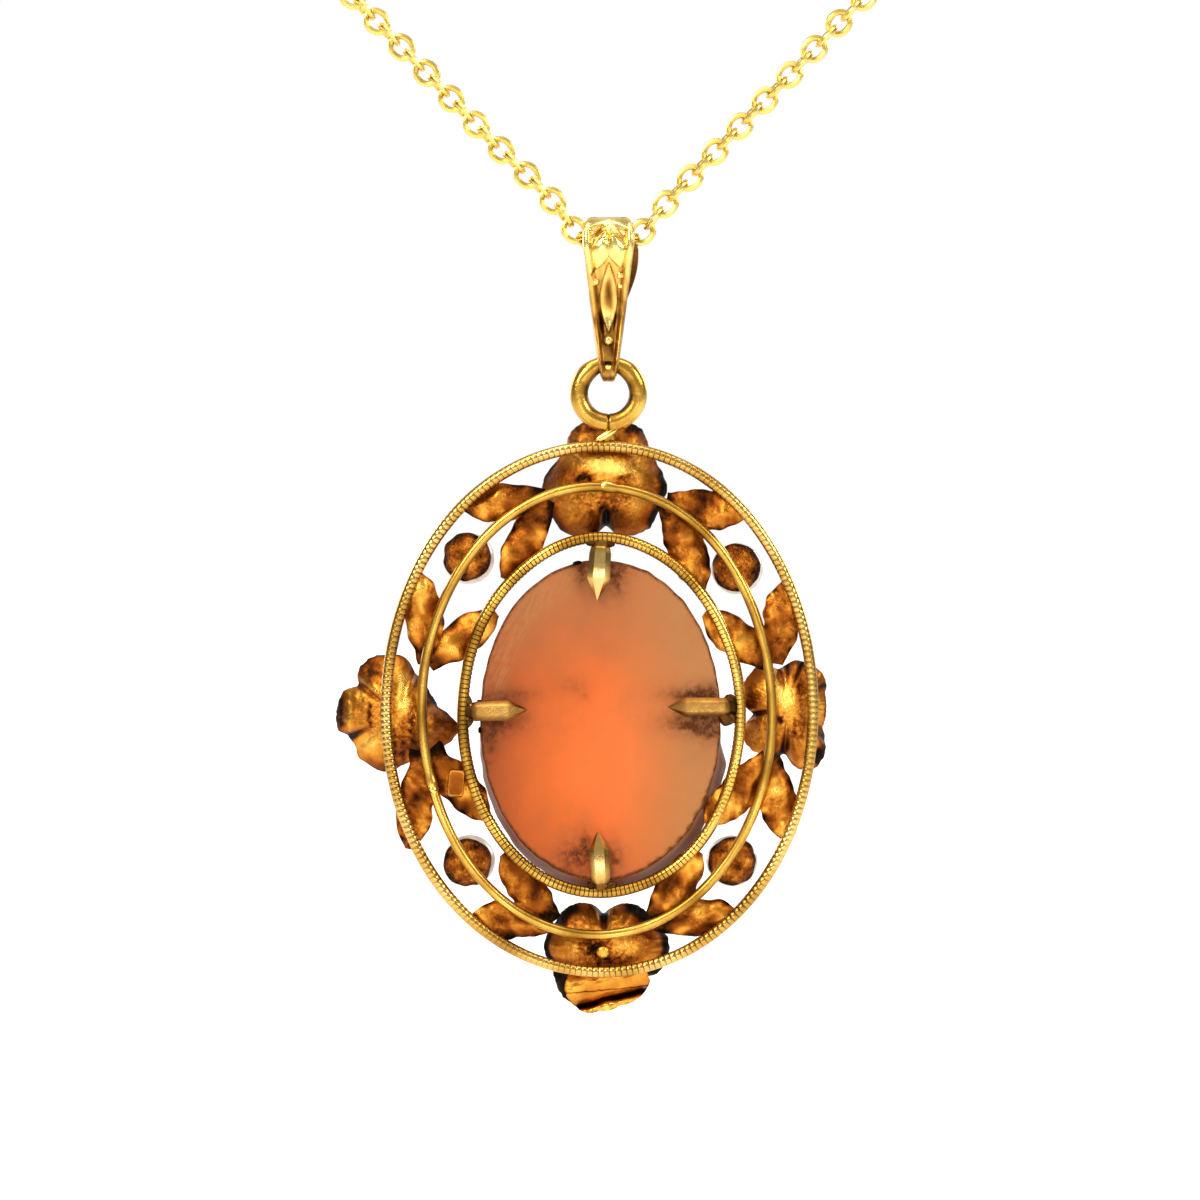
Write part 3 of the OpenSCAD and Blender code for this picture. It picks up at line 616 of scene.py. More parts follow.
def rimPart(number, wire, grooves, depth, tarnish, shift, grow, square):
    # A round wire carried round an oval at even steps. Each groove takes six rings: flat land, then a
    # narrow dip, deeper on the side towards the pendant's middle where polishing has not reached.
    wide, tall = layout["halfWide"][number] + grow, layout["halfTall"][number] + grow
    if grooves:
        step = (np.arange(grooves)[:, None] + np.array(groovePhases)).reshape(-1) / grooves
        dip = np.tile(grooveDips, grooves)[:, None]
    else:
        step, dip = np.arange(600) / 600, np.zeros((600, 1))
    a = np.linspace(0, 2 * math.pi, 4001)
    run = np.concatenate([[0], np.cumsum(np.hypot(wide * np.diff(np.cos(a)), tall * np.diff(np.sin(a))))])
    u = np.interp(step * run[-1], run, a)[:, None]
    v = turns(18)[None, :]
    degrees = np.degrees(u)
    wear = 1 - 0.6 * np.clip(ripple(np.cos(u) * 9, np.sin(u) * 9, 30 + number, 9) + 0.1, 0, 1)
    if number == 2:    # the outer rim is worn smooth on its upper right and lower left
        wear = wear * (1 - 0.7 * hump(degrees - 50, 22) - 0.4 * hump(degrees - 232, 18))
    if number == 0:    # the milling is gone from the inner rim at the lower right
        wear = wear * (1 - hump(degrees - 322, 5, 4))
    inwards = -np.cos(v)
    dip = dip * wear * (0.7 + 0.4 * inwards)
    r = wire / 2 * (1 - depth * dip + 0.015 * ripple(u * wide, v, 40 + number, 3))
    if number == 1:    # lap joint at the top, old repair at the lower left
        r = r * (1 + 0.24 * hump(degrees - 86, 1.7) + 0.16 * hump(degrees - 199, 1.4))
        r = r * (1 - 0.2 * hump(degrees - 83.6 - 0.8 * np.sin(v), 0.25))
    sideways = np.stack([tall * np.cos(u), wide * np.sin(u)], -1)
    sideways /= np.linalg.norm(sideways, axis=-1, keepdims=True)
    lean = 0.04 * ripple(np.cos(u) * 10, np.sin(u) * 10, 50 + number, 12)
    full = 1 + square * np.sin(2 * u) ** 2
    x = wide * full * np.cos(u) + sideways[..., 0] * (r * np.cos(v) + lean) + shift[0]
    z = tall * full * np.sin(u) + sideways[..., 1] * (r * np.cos(v) + lean) + shift[1] - layout["rimDrop"][number]
    y = r * np.sin(v) + 0.1 * lean
    onRight = hump((degrees + 180) % 360 - 180, 50, 4)    # paler there
    pale = (0.16, 0.0, 0.06)[number] * onRight
    dark = (0.39, 0.36, 0.24)[number] - pale + tarnish * dip * (1 - 3 * pale) + 0.25 * np.clip(inwards, 0, 1) ** 2
    dark = dark + 0.14 * ripple(np.cos(u) * 12, np.sin(u) * 12, 60 + number, 5)
    return gridPart(onFrame(np.stack([x, y, z], -1)), np.clip(dark, 0, 1), True, True)


def blobPart(middle, radii, seed, grimeAndPaintedLight, lump=0.2, turn=0.0):
    # A ball drawn out along three axes, its surface moved in and out by a ripple: a lump of solder
    u = np.linspace(0.06, math.pi - 0.06, 14)[:, None]
    v = turns(20)[None, :]
    ball = np.stack([np.sin(u) * np.cos(v), np.sin(u) * np.sin(v), np.cos(u) + 0 * v], -1)
    swell = 1 + lump * ripple(ball[..., 0] * 1.3 + ball[..., 2], ball[..., 1] * 1.3, seed, 1.5)
    ball = ball * swell[..., None] * np.array(radii)
    c, s = math.cos(math.radians(turn)), math.sin(math.radians(turn))
    x, z = ball[..., 0] * c - ball[..., 2] * s, ball[..., 0] * s + ball[..., 2] * c
    return gridPart(np.stack([x, ball[..., 1], z], -1) + np.array(middle), grimeAndPaintedLight, colsClose=True, caps=True)


def onRim(angle, number, depth=0.0):
    spot = placeOn(angle, number)
    return onFrame(np.array([spot[0], depth, spot[1]]))


for name, number, wire, grooves, depth, tarnish, shift, grow, square in rims:
    parts = [rimPart(number, wire, grooves, depth, tarnish, shift, grow, square)]
    if number == 1:
        parts.append(blobPart(onRim(86.6, 1, -0.08) + [-0.2, 0, 0.05], (0.62, 0.3, 0.3), 3, 0.05, 0.1, -6))
        parts.append(blobPart(onRim(200.5, 1, -0.03) + [-0.2, 0, 0], (0.33, 0.34, 0.42), 4, 0.08, 0.08, 20))
    putPiece(name, parts, beadGold if number == 2 else rimGold, "pendant", ["frame"])
print("rims ready")


# Flowers: cups of stamped sheet that open away from the rims, with torn edges that carry painted shade

flowers = {
    "sheet": 0.2, "rays": 300, "rings": 40,
    # Sheets of each flower. Middle is its place from the pendant's middle, across and up, outline its
    # edge as seen from behind, in millimetres from there. Laps are the steps where one petal lies over the
    # next (angle, height), and the edge table the edges darkened by painted shade where they curl away (angle, half
    # spread, how far in, how dark).
    "top": [{
        "middle": (0.35, 14.31), "bowl": 1.9, "power": 2.4, "seed": 11, "tone": 0.53,
        "outline": [(-2.48, 2.05), (-2.36, 2.73), (-2.05, 3.22), (-1.49, 3.6), (0.06, 3.72), (1.5, 3.6), (2.25, 3.2),
                    (2.55, 2.5), (2.7, 1.86), (3.29, 0.87), (3.72, 0.0), (3.84, -0.62), (3.47, -1.3),
                    (3.15, -2.2), (2.75, -2.95), (1.7, -3.42), (0.62, -3.3), (0.0, -2.75), (-0.62, -3.3),
                    (-1.85, -3.45), (-2.8, -3.15), (-3.42, -2.1), (-3.91, -1.24), (-4.03, -0.5), (-3.78, 0.37),
                    (-3.1, 1.18)],
        "laps": [(140, 0.3), (38, -0.3), (-90, 0.12)], "creases": [(-90, 5, 0.55, 0.5)],
        "paintedEdgeShade": [(-145, 16, 0.16, 0.45), (-4, 15, 0.16, 0.65), (130, 14, 0.2, 0.2), (55, 14, 0.2, 0.3),
                  (-35, 12, 0.14, 0.6), (-90, 7, 0.3, 0.7), (172, 12, 0.06, 0.4)],
        "paintedGlow": [(0.1, 3.0, 2.2, 0.6, 0.2), (-0.5, 1.0, 1.5, 0.5, 0.5), (0.9, 0.6, 1.2, 0.4, 0.3),
                 (-2.2, -1.4, 0.9, 0.9, 0.12),
                 (2.0, -1.5, 0.9, 0.8, 0.12), (1.9, 1.9, 0.4, 0.9, 0.15), (-3.0, 0.2, 0.5, 1.0, 0.12)],
        "dirtAndShade": [(-1.35, 0.15, 0.5, 0.3, 0.5), (1.15, 0.15, 0.5, 0.3, 0.4), (0.0, -1.0, 1.3, 0.35, 0.25),
                 (-0.2, -1.8, 1.0, 0.5, 0.3), (-1.3, 2.1, 0.9, 0.35, 0.4), (-1.1, 3.2, 0.9, 0.25, 0.4),
                 (1.6, 3.1, 0.5, 0.4, 0.3)],
    }],
    "left": [{
        "middle": (-12.55, -0.26), "bowl": 1.7, "power": 2.2, "seed": 23, "tone": 0.44,
        "outline": [(0.62, 3.29), (0.12, 3.66), (-0.81, 3.72), (-1.67, 3.6), (-2.36, 3.1),
                    (-2.67, 2.48), (-2.48, 1.8),
                    (-2.85, 1.67), (-3.47, 1.49), (-3.78, 0.81), (-3.95, -0.06), (-3.85, -0.99), (-3.29, -1.24),
                    (-2.98, -1.67), (-2.67, -2.05), (-2.6, -2.73), (-1.86, -3.16), (-0.99, -3.6), (-0.37, -3.53),
                    (0.12, -3.2), (0.9, -2.85), (2.05, -2.36), (2.87, -1.96), (3.43, -1.5), (3.72, -0.92),
                    (3.4, -0.3), (2.42, 0.43), (1.98, 1.24), (1.55, 1.98), (0.99, 2.54)],
        "laps": [(143, -0.4), (206, 0.4), (72, 0.35), (-52, 0.25)],
        "creases": [(143, 4, 0.35, 0.35), (204, 4, 0.3, 0.4), (62, 6, 0.5, 0.5), (-60, 5, 0.3, 0.5),
                    (20, 5, 0.2, 0.5)],
        "paintedEdgeShade": [(176, 16, 0.12, 0.34), (112, 22, 0.12, 0.18), (-112, 22, 0.2, 0.26), (205, 4, 0.4, 0.3),
                  (12, 30, 0.1, 0.25), (38, 12, 0.3, 0.4), (75, 8, 0.2, 0.3)],
        "paintedGlow": [(0.2, 2.2, 0.28, 0.5, 0.5), (0.4, 1.6, 0.35, 0.2, 0.35), (-1.8, 1.55, 0.6, 0.25, 0.35),
                 (0.35, 0.7, 0.45, 0.55, 0.35), (-3.04, 0.1, 0.14, 1.0, 0.35), (-1.9, -1.8, 0.7, 0.6, 0.22),
                 (-0.4, -0.5, 0.5, 0.4, 0.2)],
        "dirtAndShade": [(0.75, -0.25, 0.3, 0.9, 0.35), (-1.75, 0.0, 0.16, 1.1, 0.3), (0.0, -2.3, 0.9, 1.0, 0.28),
                 (2.3, -0.2, 1.2, 0.9, 0.24), (-1.6, 2.6, 0.7, 0.6, 0.26), (-3.6, 0.1, 0.2, 1.2, 0.35)],
    }],
    "right": [{
        "middle": (11.57, 0.3), "bowl": 1.5, "power": 2.2, "seed": 37, "tone": 0.42,
        "outline": [(-1.3, 2.6), (-0.48, 2.2), (-0.06, 2.5), (0.52, 2.81), (1.05, 2.75), (1.8, 2.4), (2.33, 1.96),
                    (2.54, 1.22), (2.4, 0.8), (2.5, -0.16), (2.44, -0.91), (2.23, -1.5), (2.3, -1.86),
                    (2.6, -2.07), (2.5, -2.72), (2.23, -3.5), (1.8, -4.0), (0.84, -4.0), (0.41, -3.75),
                    (0.1, -3.2), (-0.1, -3.0), (-0.55, -3.25), (-1.3, -3.2), (-2.13, -2.8), (-2.67, -2.18),
                    (-2.67, -1.55), (-2.45, -1.05), (-1.98, -0.55), (-2.5, -0.14), (-2.62, 0.58), (-2.7, 1.32),
                    (-2.13, 2.07), (-1.87, 2.45)],
        "laps": [(100, 0.35), (195, 0.3), (-94, 0.4), (-38, 0.25), (28, 0.35)],
        "creases": [(100, 5, 0.4, 0.4), (88, 3, 0.25, 0.3), (70, 3, 0.25, 0.35), (195, 5, 0.35, 0.5),
                    (-94, 5, 0.35, 0.5),
                    (-40, 6, 0.3, 0.55), (28, 5, 0.35, 0.55)],
        "paintedEdgeShade": [(-54, 8, 0.2, 0.35), (-105, 10, 0.14, 0.4), (78, 25, 0.14, 0.22), (5, 15, 0.06, 0.2),
                  (-10, 8, 0.08, 0.3), (-75, 14, 0.08, 0.2)],
        "paintedGlow": [(-0.05, 0.55, 0.5, 0.5, 0.6), (-0.3, 1.6, 0.5, 0.6, 0.25), (0.1, -0.7, 0.6, 0.7, 0.2)],
        "dirtAndShade": [(-0.4, -0.85, 0.24, 0.24, 0.6), (0.75, 0.7, 0.2, 0.7, 0.4), (0.7, -1.5, 0.45, 0.8, 0.42),
                 (2.0, -3.15, 0.26, 0.42, 1.0), (-1.7, -1.2, 0.8, 1.2, 0.12)],
    }],
    "bottom": [{
        "middle": (0.29, -14.71), "bowl": 1.75, "power": 2.4, "seed": 53, "tone": 0.55,
        "outline": [(-0.12, 1.95), (-0.68, 2.54), (-1.43, 2.7), (-2.17, 2.52), (-2.73, 2.1), (-3.04, 1.5),
                    (-3.41, 1.15), (-3.72, 0.5), (-3.82, -0.25), (-3.55, -0.87), (-3.25, -1.49), (-3.2, -1.9),
                    (-3.0, -2.6), (-2.5, -3.3), (-1.9, -3.75), (-1.0, -3.3), (0.0, -2.6),
                    (2.17, -2.0), (3.25, -1.75), (3.75, -1.2),
                    (4.0, -0.31), (3.93, 0.5), (3.45, 1.05), (2.95, 1.61), (2.5, 2.2), (1.82, 2.6), (1.05, 2.65),
                    (0.43, 2.4)],
        "laps": [(92, 0.1)], "creases": [(93, 7, 0.7, 0.45)],
        "paintedEdgeShade": [(93, 9, 0.3, 0.8), (140, 16, 0.22, 0.75), (46, 16, 0.22, 0.75), (0, 14, 0.14, 0.8),
                  (180, 18, 0.1, 0.7), (-134, 26, 0.45, 0.85), (-25, 14, 0.2, 0.7), (-160, 12, 0.12, 0.5)],
        "paintedGlow": [(1.3, 0.1, 0.8, 0.4, 0.25), (-1.9, -0.3, 0.5, 0.5, 0.15), (0.3, 0.85, 1.6, 0.3, 0.2)],
        "dirtAndShade": [(-0.7, 0.0, 0.9, 0.5, 0.45), (0.5, -0.8, 1.4, 0.3, 0.3)],
    }, {
        "middle": (0.16, -17.19), "bowl": 0.1, "power": 2.0, "seed": 59, "tone": 0.4,
        "outline": [(-1.83, 1.3), (-1.0, 1.5), (0.12, 1.5), (1.67, 1.5), (2.42, 1.4), (2.73, 0.87), (2.95, 0.37),
                    (2.7, -0.25), (2.17, -0.74), (1.05, -1.18), (-0.19, -1.5), (-0.98, -1.66), (-1.69, -1.3),
                    (-2.2, -0.7), (-2.4, -0.1), (-2.25, 0.5)],
        # the petal is bent along its width: height above its middle, depth, and darkness, which paints the shadow in
        # the fold and the paler lip below it
        "fold": [(1.6, 0.75, 0.48), (0.9, 0.5, 0.4), (0.2, 0.5, 0.34), (-0.4, 0.75, 0.4), (-0.72, 1.1, 0.55),
                 (-0.86, 1.45, 0.95), (-1.0, 1.5, 1.0), (-1.06, 1.1, 0.5), (-1.2, 0.9, 0.22), (-2.4, 0.75, 0.15)],
        "laps": [], "creases": [], "paintedEdgeShade": [], "paintedGlow": [], "dirtAndShade": [],
    }],
}


def edgeReach(outline, a):
    # The outline's points in polar form, joined round the circle and smoothed a little
    points = np.array(outline)
    turn = np.arctan2(points[:, 1], points[:, 0])
    reach = np.interp(a, turn[np.argsort(turn)], np.hypot(points[:, 0], points[:, 1])[np.argsort(turn)],
                      period=2 * math.pi)
    window = np.array([1, 2, 3, 4, 3, 2, 1]) / 16
    return np.convolve(np.pad(reach, 3, mode="wrap"), window, "valid")


def aside(a, degrees):
    # Signed angle in degrees from a direction to each ray
    return (np.degrees(a) - degrees + 180) % 360 - 180


def sheetPart(sheet):
    # Rays from the middle to the edge, rings by share of the reach. Depth is a bowl's power curve, with
    # steps at the laps, creases, and ripples that grow outwards; a folded petal follows its fold's table.
    a = np.linspace(-math.pi, math.pi, flowers["rays"], endpoint=False)[None, :]
    share = np.linspace(0.02, 1, flowers["rings"])[:, None]
    reach = edgeReach(sheet["outline"], a[0])[None, :]
    seed = sheet["seed"]
    reach = reach * (1 + 0.008 * ripple(np.cos(a) * 3, np.sin(a) * 3, seed, 0.35))
    x, z = reach * share * np.cos(a), reach * share * np.sin(a)
    y = sheet["bowl"] * share ** sheet["power"] * (reach / reach.mean()) ** 0.5
    rough = ripple(x, z, seed + 1, 1.5)
    fine = ripple(x, z, seed + 2, 0.5)
    # the middle of each sheet is made lighter, a painted highlight
    dark = sheet["tone"] + 0.12 * ripple(x, z, seed + 3, 3.0) - 0.1 * hump(share, 0.6)
    grain = 0.12 + 0.75 * hump(share, 0.62, 4)
    outwards = ramp(share - 0.3, 0.5)
    y = y + (0.07 * rough + 0.02 * fine) * (0.4 + 0.6 * share)
    for angle, height in sheet["laps"]:
        d = aside(a, angle)
        y = y + height / 2 * np.tanh(d / 2.5) * hump(d, 30) * outwards
    for angle, width, deep, begin in sheet["creases"]:
        d = aside(a, angle)
        line = hump(d, width) * ramp(share - begin, 1 - begin)
        y = y + deep * line
        # painted shade in each crease
        dark = dark + 0.5 * line
    # painted shade on the edges where the petals curl away
    for angle, spread, into, black in sheet["paintedEdgeShade"]:
        d = aside(a, angle)
        dark = dark + black * hump(d, spread, 4) * ramp(share - 1 + into, into * 0.7)
    # painted highlights: spots made brighter
    for gx, gz, w, h, bright in sheet["paintedGlow"]:
        spot = spotAt(x - gx, w, z - gz, h)
        dark, grain = dark - bright * spot, grain + 0.25 * spot
    # dark spots: partly dirt, partly painted shade in folds and under the rims
    for gx, gz, w, h, black in sheet["dirtAndShade"]:
        spot = spotAt(x - gx, w, z - gz, h) * np.clip(1 + 0.6 * fine, 0, 2)
        dark, grain = dark + black * spot, grain + 0.3 * spot
    if "fold" in sheet:
        level = np.array(sheet["fold"])[::-1]
        across = z - 0.25 * x + 0.04 * rough
        y = y + np.interp(across, level[:, 0], level[:, 1])
        # painted shadow in the fold from the fold's table, and a thin painted crease line
        dark = np.interp(across, level[:, 0], level[:, 2]) + 0.05 * rough
        dark = dark + 0.4 * hump(z - 0.086 * x + 0.2 + 0.03 * fine, 0.035)
        grain = 0 * dark + 0.06
    # painted shade on the outermost edge of each sheet
    dark = dark + 0.15 * ramp(share - 0.965, 0.035)
    back = np.stack([x, y, z], -1)
    front = np.stack([x, y + flowers["sheet"], z], -1)
    place = np.array([sheet["middle"][0], layout["solderDepth"], sheet["middle"][1]])
    points = onFrame(np.concatenate([back, front[::-1]], 0) + place)
    dark = np.clip(np.concatenate([dark, 0.55 * dark[::-1]], 0), 0, 1)      # the front face is cleaner
    grain = np.clip(np.concatenate([grain, grain[::-1]], 0), 0, 1)
    return gridPart(points, dark, colsClose=True, caps=True, grain=grain)


for name in ("Top", "Left", "Right", "Bottom"):
    parts = [sheetPart(sheet) for sheet in flowers[name.lower()]]
    if name == "Bottom":   # a small boss
        boss = onFrame(np.array([0.17, 0.1, -14.96]))
        parts.append(blobPart(boss, (0.42, 0.24, 0.4), 71, 0.2, 0.06))
    putPiece("flower" + name, parts, sheetGold, "pendant", ["frame"], 60)
print("flowers ready")


# Leaves: eight sprays of two, cut from sheet and bent by hand

leaves = {
    "wide": 2.4, "curl": 0.3, "lap": 0.08, "sheet": 0.22, "longer": 1.04,
    "tab": (-8.95, -4.51, 1.0, 1.66, -4),       # middle across and up, width, height, turn
    # angle and rim number of the root, of the outer tip and of the inner tip
    "sprays": [
        (108, 0.98, 129, 1.98, 131, 0.18), (68, 1.03, 48, 2.08, 45, 0.12),
        (168, 1.05, 149, 1.98, 143, -0.15), (-169.5, 1.05, -150, 2.2, -146, 0.02),
        (12, 1.05, 29, 2.0, 37, -0.15), (-12, 0.95, -29, 2.04, -37, -0.1),
        (-106, 0.9, -127, 2.02, -131, 0.2), (-72, 0.93, -51, 1.98, -48, 0.22),
    ],
    "shade": (0.09, 0.05, -0.05, 0.08, -0.03, -0.02, 0.07, 0.04),      # how much darker each spray is
    # share of length, share of width
    "outline": [(0, 0.5), (0.15, 0.68), (0.35, 0.93), (0.55, 1), (0.75, 0.9), (0.9, 0.6), (1, 0.12)],
}


def leafPart(root, tip, lap, seed, rootShare, shade):
    # Across, the sheet is a shallow gutter; along, it waves. Its edge follows the outline's shares
    # with a small ripple, and the section runs round both faces. Hollows and curled edges get painted shade, crests a
    # painted highlight.
    run = (tip - root) * leaves["longer"]
    long = np.linalg.norm(run)
    ahead = run / long
    side = np.array([-ahead[1], ahead[0]])
    t = np.linspace(0, 1, 48)[:, None]
    w = np.linspace(-1, 1, 19)[None, :]
    shares = np.array(leaves["outline"])
    width = np.maximum(np.interp(t[:, 0], shares[:, 0], shares[:, 1]), rootShare * (1 - 2 * t[:, 0]))
    width = np.convolve(np.pad(width, 2, mode="edge"), np.ones(5) / 5, "valid")[:, None]
    width = width * (1 + 0.08 * ripple(t * long + 9 * np.sign(w), 0 * t, seed, 1.1))
    half = leaves["wide"] / 2 * width
    bow = 0.014 * long * np.sin(t * math.pi) * (1 if seed % 2 else -1)
    x = root[0] + ahead[0] * t * long + side[0] * (half * w + bow)
    z = root[1] + ahead[1] * t * long + side[1] * (half * w + bow)
    wave = ripple(x, z, seed + 1, 2.2)
    crumple = ripple(x, z, seed + 2, 0.8)
    y = layout["solderDepth"] + 0.1 + lap + leaves["curl"] * width * w ** 2
    y = y + np.clip(0.17 * wave + 0.05 * crumple, -0.15, 0.4) * (0.3 + 0.7 * t)
    back = np.stack([x, y, z], -1)
    front = np.stack([x, y + leaves["sheet"], z], -1)[:, ::-1]
    edge = ramp(np.abs(w) - 0.7 + 0.12 * crumple, 0.3) ** 1.5
    # painted shade on the curled edges and in the hollows of the waves, painted highlight on the crests; the tip
    # darker
    dark = 0.43 + shade + 0.26 * edge + 0.22 * ramp(t - 0.88, 0.12) + 0.2 * wave + 0.08 * crumple
    # painted shade at the root, where it meets the middle rim
    dark = dark + 0.4 * (1 - t) ** 3
    grain = 0.35 + 0.3 * np.clip(ripple(x, z, seed + 3, 1.6), -1, 1)
    # the front face is cleaner than the back
    dark = np.clip(np.concatenate([dark, 0.55 * dark[:, ::-1]], 1), 0, 1)
    grain = np.clip(np.concatenate([grain, grain[:, ::-1]], 1), 0.05, 1)
    return gridPart(onFrame(np.concatenate([back, front], 1)), dark, colsClose=True, caps=True, grain=grain)


def tabPart():
    # A thin rounded plate pressed onto the lower left spray, darker in its middle
    x, z, wide, tall, turn = leaves["tab"]
    a = turns(40)[None, :]
    share = np.array([[0.05], [0.5], [0.8], [0.93], [1.0], [1.04]])
    square = (np.abs(np.cos(a)) ** 6 + np.abs(np.sin(a)) ** 6) ** (-1 / 6)
    u, v = wide / 2 * share * square * np.cos(a), tall / 2 * share * square * np.sin(a)
    c, s = math.cos(math.radians(turn)), math.sin(math.radians(turn))
    y = np.array([[-0.12], [-0.12], [-0.14], [-0.17], [-0.1], [0.06]]) + 0 * a
    dark = np.array([[0.62], [0.6], [0.55], [0.2], [0.5], [0.8]]) + 0 * a
    return gridPart(onFrame(np.stack([x + u * c - v * s, y + layout["solderDepth"] + 0.1, z + u * s + v * c], -1)),
                    dark, colsClose=True, caps=True, grain=0.15)


for index, row in enumerate(leaves["sprays"]):
    root = placeOn(row[0], row[1])
    parts = [leafPart(root, placeOn(row[2 + 2 * k], row[3 + 2 * k]), leaves["lap"] * k, 300 + 20 * index + 7 * k,
                      0.95 if index == 3 else 0.5, leaves["shade"][index])
             for k in (0, 1)]
    if index == 3:
        parts.append(tabPart())
    putPiece("leafSpray%d" % (index + 1), parts, sheetGold, "pendant", ["frame"], 60)
print("leaves ready")


# Pearls in shallow cups

pearls = {
    "wide": 3.2, "cupWide": 3.0, "sheet": 0.3, "gap": 0.05,
    "places": [(138, 1.1), (39, 1.05), (-138, 1.06), (-42, 1.08)],
    "depth": 0.15 + 0.3 + 0.05 + 1.6,
    "cupShift": [(-0.06, 0.09), (-0.09, 0.06), (-0.09, -0.06), (0.0, 0.04)],
}


def turnedPart(profile, middle, grimeAndPaintedLight, seed, lump=0.0, steps=48, grain=0.3):
    # Points of distance from the axis and depth along Y are turned round the axis, with a small ripple
    profile = np.array(profile)
    v = turns(steps)[None, :]
    radius, depth = profile[:, :1], profile[:, 1:]
    x, z = radius * np.cos(v), radius * np.sin(v)
    swell = 1 + lump * ripple(x, z, seed, 1.1)
    points = np.stack([x * swell, depth + 0 * v + 0.5 * lump * ripple(x, z, seed + 1, 0.8), z * swell], -1)
    return gridPart(points + np.array(middle), grimeAndPaintedLight, colsClose=True, caps=True, grain=grain)


def cupProfile():
    # Outside of the cup from its foot to its mouth, then its inside back to the foot
    inside = pearls["wide"] / 2 + pearls["gap"]
    outside = inside + pearls["sheet"]
    mouth = math.asin(pearls["cupWide"] / 2 / outside)
    inMouth = math.asin(min(1, pearls["cupWide"] / 2 / inside)) * 0.93
    a = np.linspace(0.04, mouth, 16)
    b = np.linspace(inMouth, 0.04, 12)
    outer = np.stack([outside * np.sin(a), -outside * np.cos(a)], 1)
    inner = np.stack([inside * np.sin(b), -inside * np.cos(b)], 1)
    return np.vstack([outer, inner])


cupParts = []
for index, (angle, number) in enumerate(pearls["places"]):
    shift = pearls["cupShift"][index]
    at = onRim(angle, number, pearls["depth"]) + np.array([shift[0], 0, shift[1]])
    profile = cupProfile()
    around = turns(48)[None, :]
    blotch = ripple(profile[:, :1] * np.cos(around), profile[:, :1] * np.sin(around), 540 + index, 1.0)
    cupDark = 0.6 + 0.16 * blotch + 0.3 * ramp(profile[:, :1] - 1.2, 0.25)
    cupParts.append(turnedPart(profile, at, np.clip(cupDark, 0.3, 1), 500 + index, 0.035, 48, 0.8))
putPiece("pearlCups", cupParts, sheetGold, "pendant", ["frame"], 60)

# Cultured pearl: layered nacre, a pale grey body with a soft clear gloss and faint rose
nacre, tree = newMaterial("pearlNacre")
place = addNode(tree, "TexCoord").outputs["Object"]
veil = addNode(tree, "TexNoise", {"Scale": 900.0, "Detail": 4.0}, {"Vector": place}).outputs["Fac"]
tint = addNode(tree, "ValToRGB", {"stops": [(0.35, "#B9AEA6"), (0.5, "#DAD2CB"), (0.65, "#E9DFDB")]},
               {0: veil}).outputs["Color"]
surface = addNode(tree, "BsdfPrincipled", {
    "Roughness": 0.28, "IOR": 1.53, "Coat Weight": 0.6, "Coat Roughness": 0.12, "Sheen Weight": 0.2},
    {"Base Color": tint})
addNode(tree, "OutputMaterial", None, {0: surface.outputs[0]})
for index, (angle, number) in enumerate(pearls["places"]):
    at = onRim(angle, number, pearls["depth"])
    a = np.linspace(0.02, math.pi - 0.02, 40)
    profile = np.stack([np.sin(a), -np.cos(a)], 1) * pearls["wide"] / 2
    putPiece("pearl%d" % (index + 1), [turnedPart(profile, at, 0.0, 520 + index, 0.006, 64)], nacre, "pendant",
             ["pearl_%d" % (index + 1)], 180)
print("pearls ready")


# Prongs over the cameo's back, claws over its front, and the solder at their roots

prongs = {
    "thick": 0.45, "claw": 0.9, "clawWide": 1.3, "gap": 0.1,
    # claw's angle, and the bar's tip, root, width and tone, from the pendant's middle across and up
    "bars": [(90, (-0.21, 6.84), (0.04, 10.5), 1.42, -0.08), (178, (-4.53, 0.05), (-8.35, -0.04), 1.26, 0.21),
             (3, (4.19, 0.22), (8.4, 0.26), 1.18, 0.25), (-90, (-0.15, -7.45), (0.05, -11.1), 1.24, 0.0)],
    # lumps of solder: across, up, radii across and up, turn, patina
    "solder": [(-0.5, 10.45, 0.4, 0.24, 10, 0.8), (0.55, 10.4, 0.34, 0.26, -10, 0.8), (0.05, 10.4, 0.5, 0.3, 0, 0.55),
               (-8.2, 0.62, 0.24, 0.36, 10, 0.75), (-8.15, -0.66, 0.26, 0.36, -10, 0.8),
               (-8.0, 0.0, 0.32, 0.5, 0, 0.6),
               (7.9, -0.45, 0.52, 0.46, 25, 0.75), (8.0, 0.72, 0.36, 0.3, 0, 0.75), (7.85, 0.2, 0.5, 0.45, 0, 0.62),
               (-7.5, 0.45, 0.17, 0.26, 10, 1.0), (-7.48, -1.2, 0.1, 0.2, 0, 1.0), (-1.45, 9.16, 0.28, 0.12, 12, 1.0),
               (-0.55, -10.85, 0.3, 0.24, 0, 0.8), (0.65, -10.85, 0.32, 0.24, 10, 0.75),
               (0.05, -10.8, 0.5, 0.3, 0, 0.6)],
}
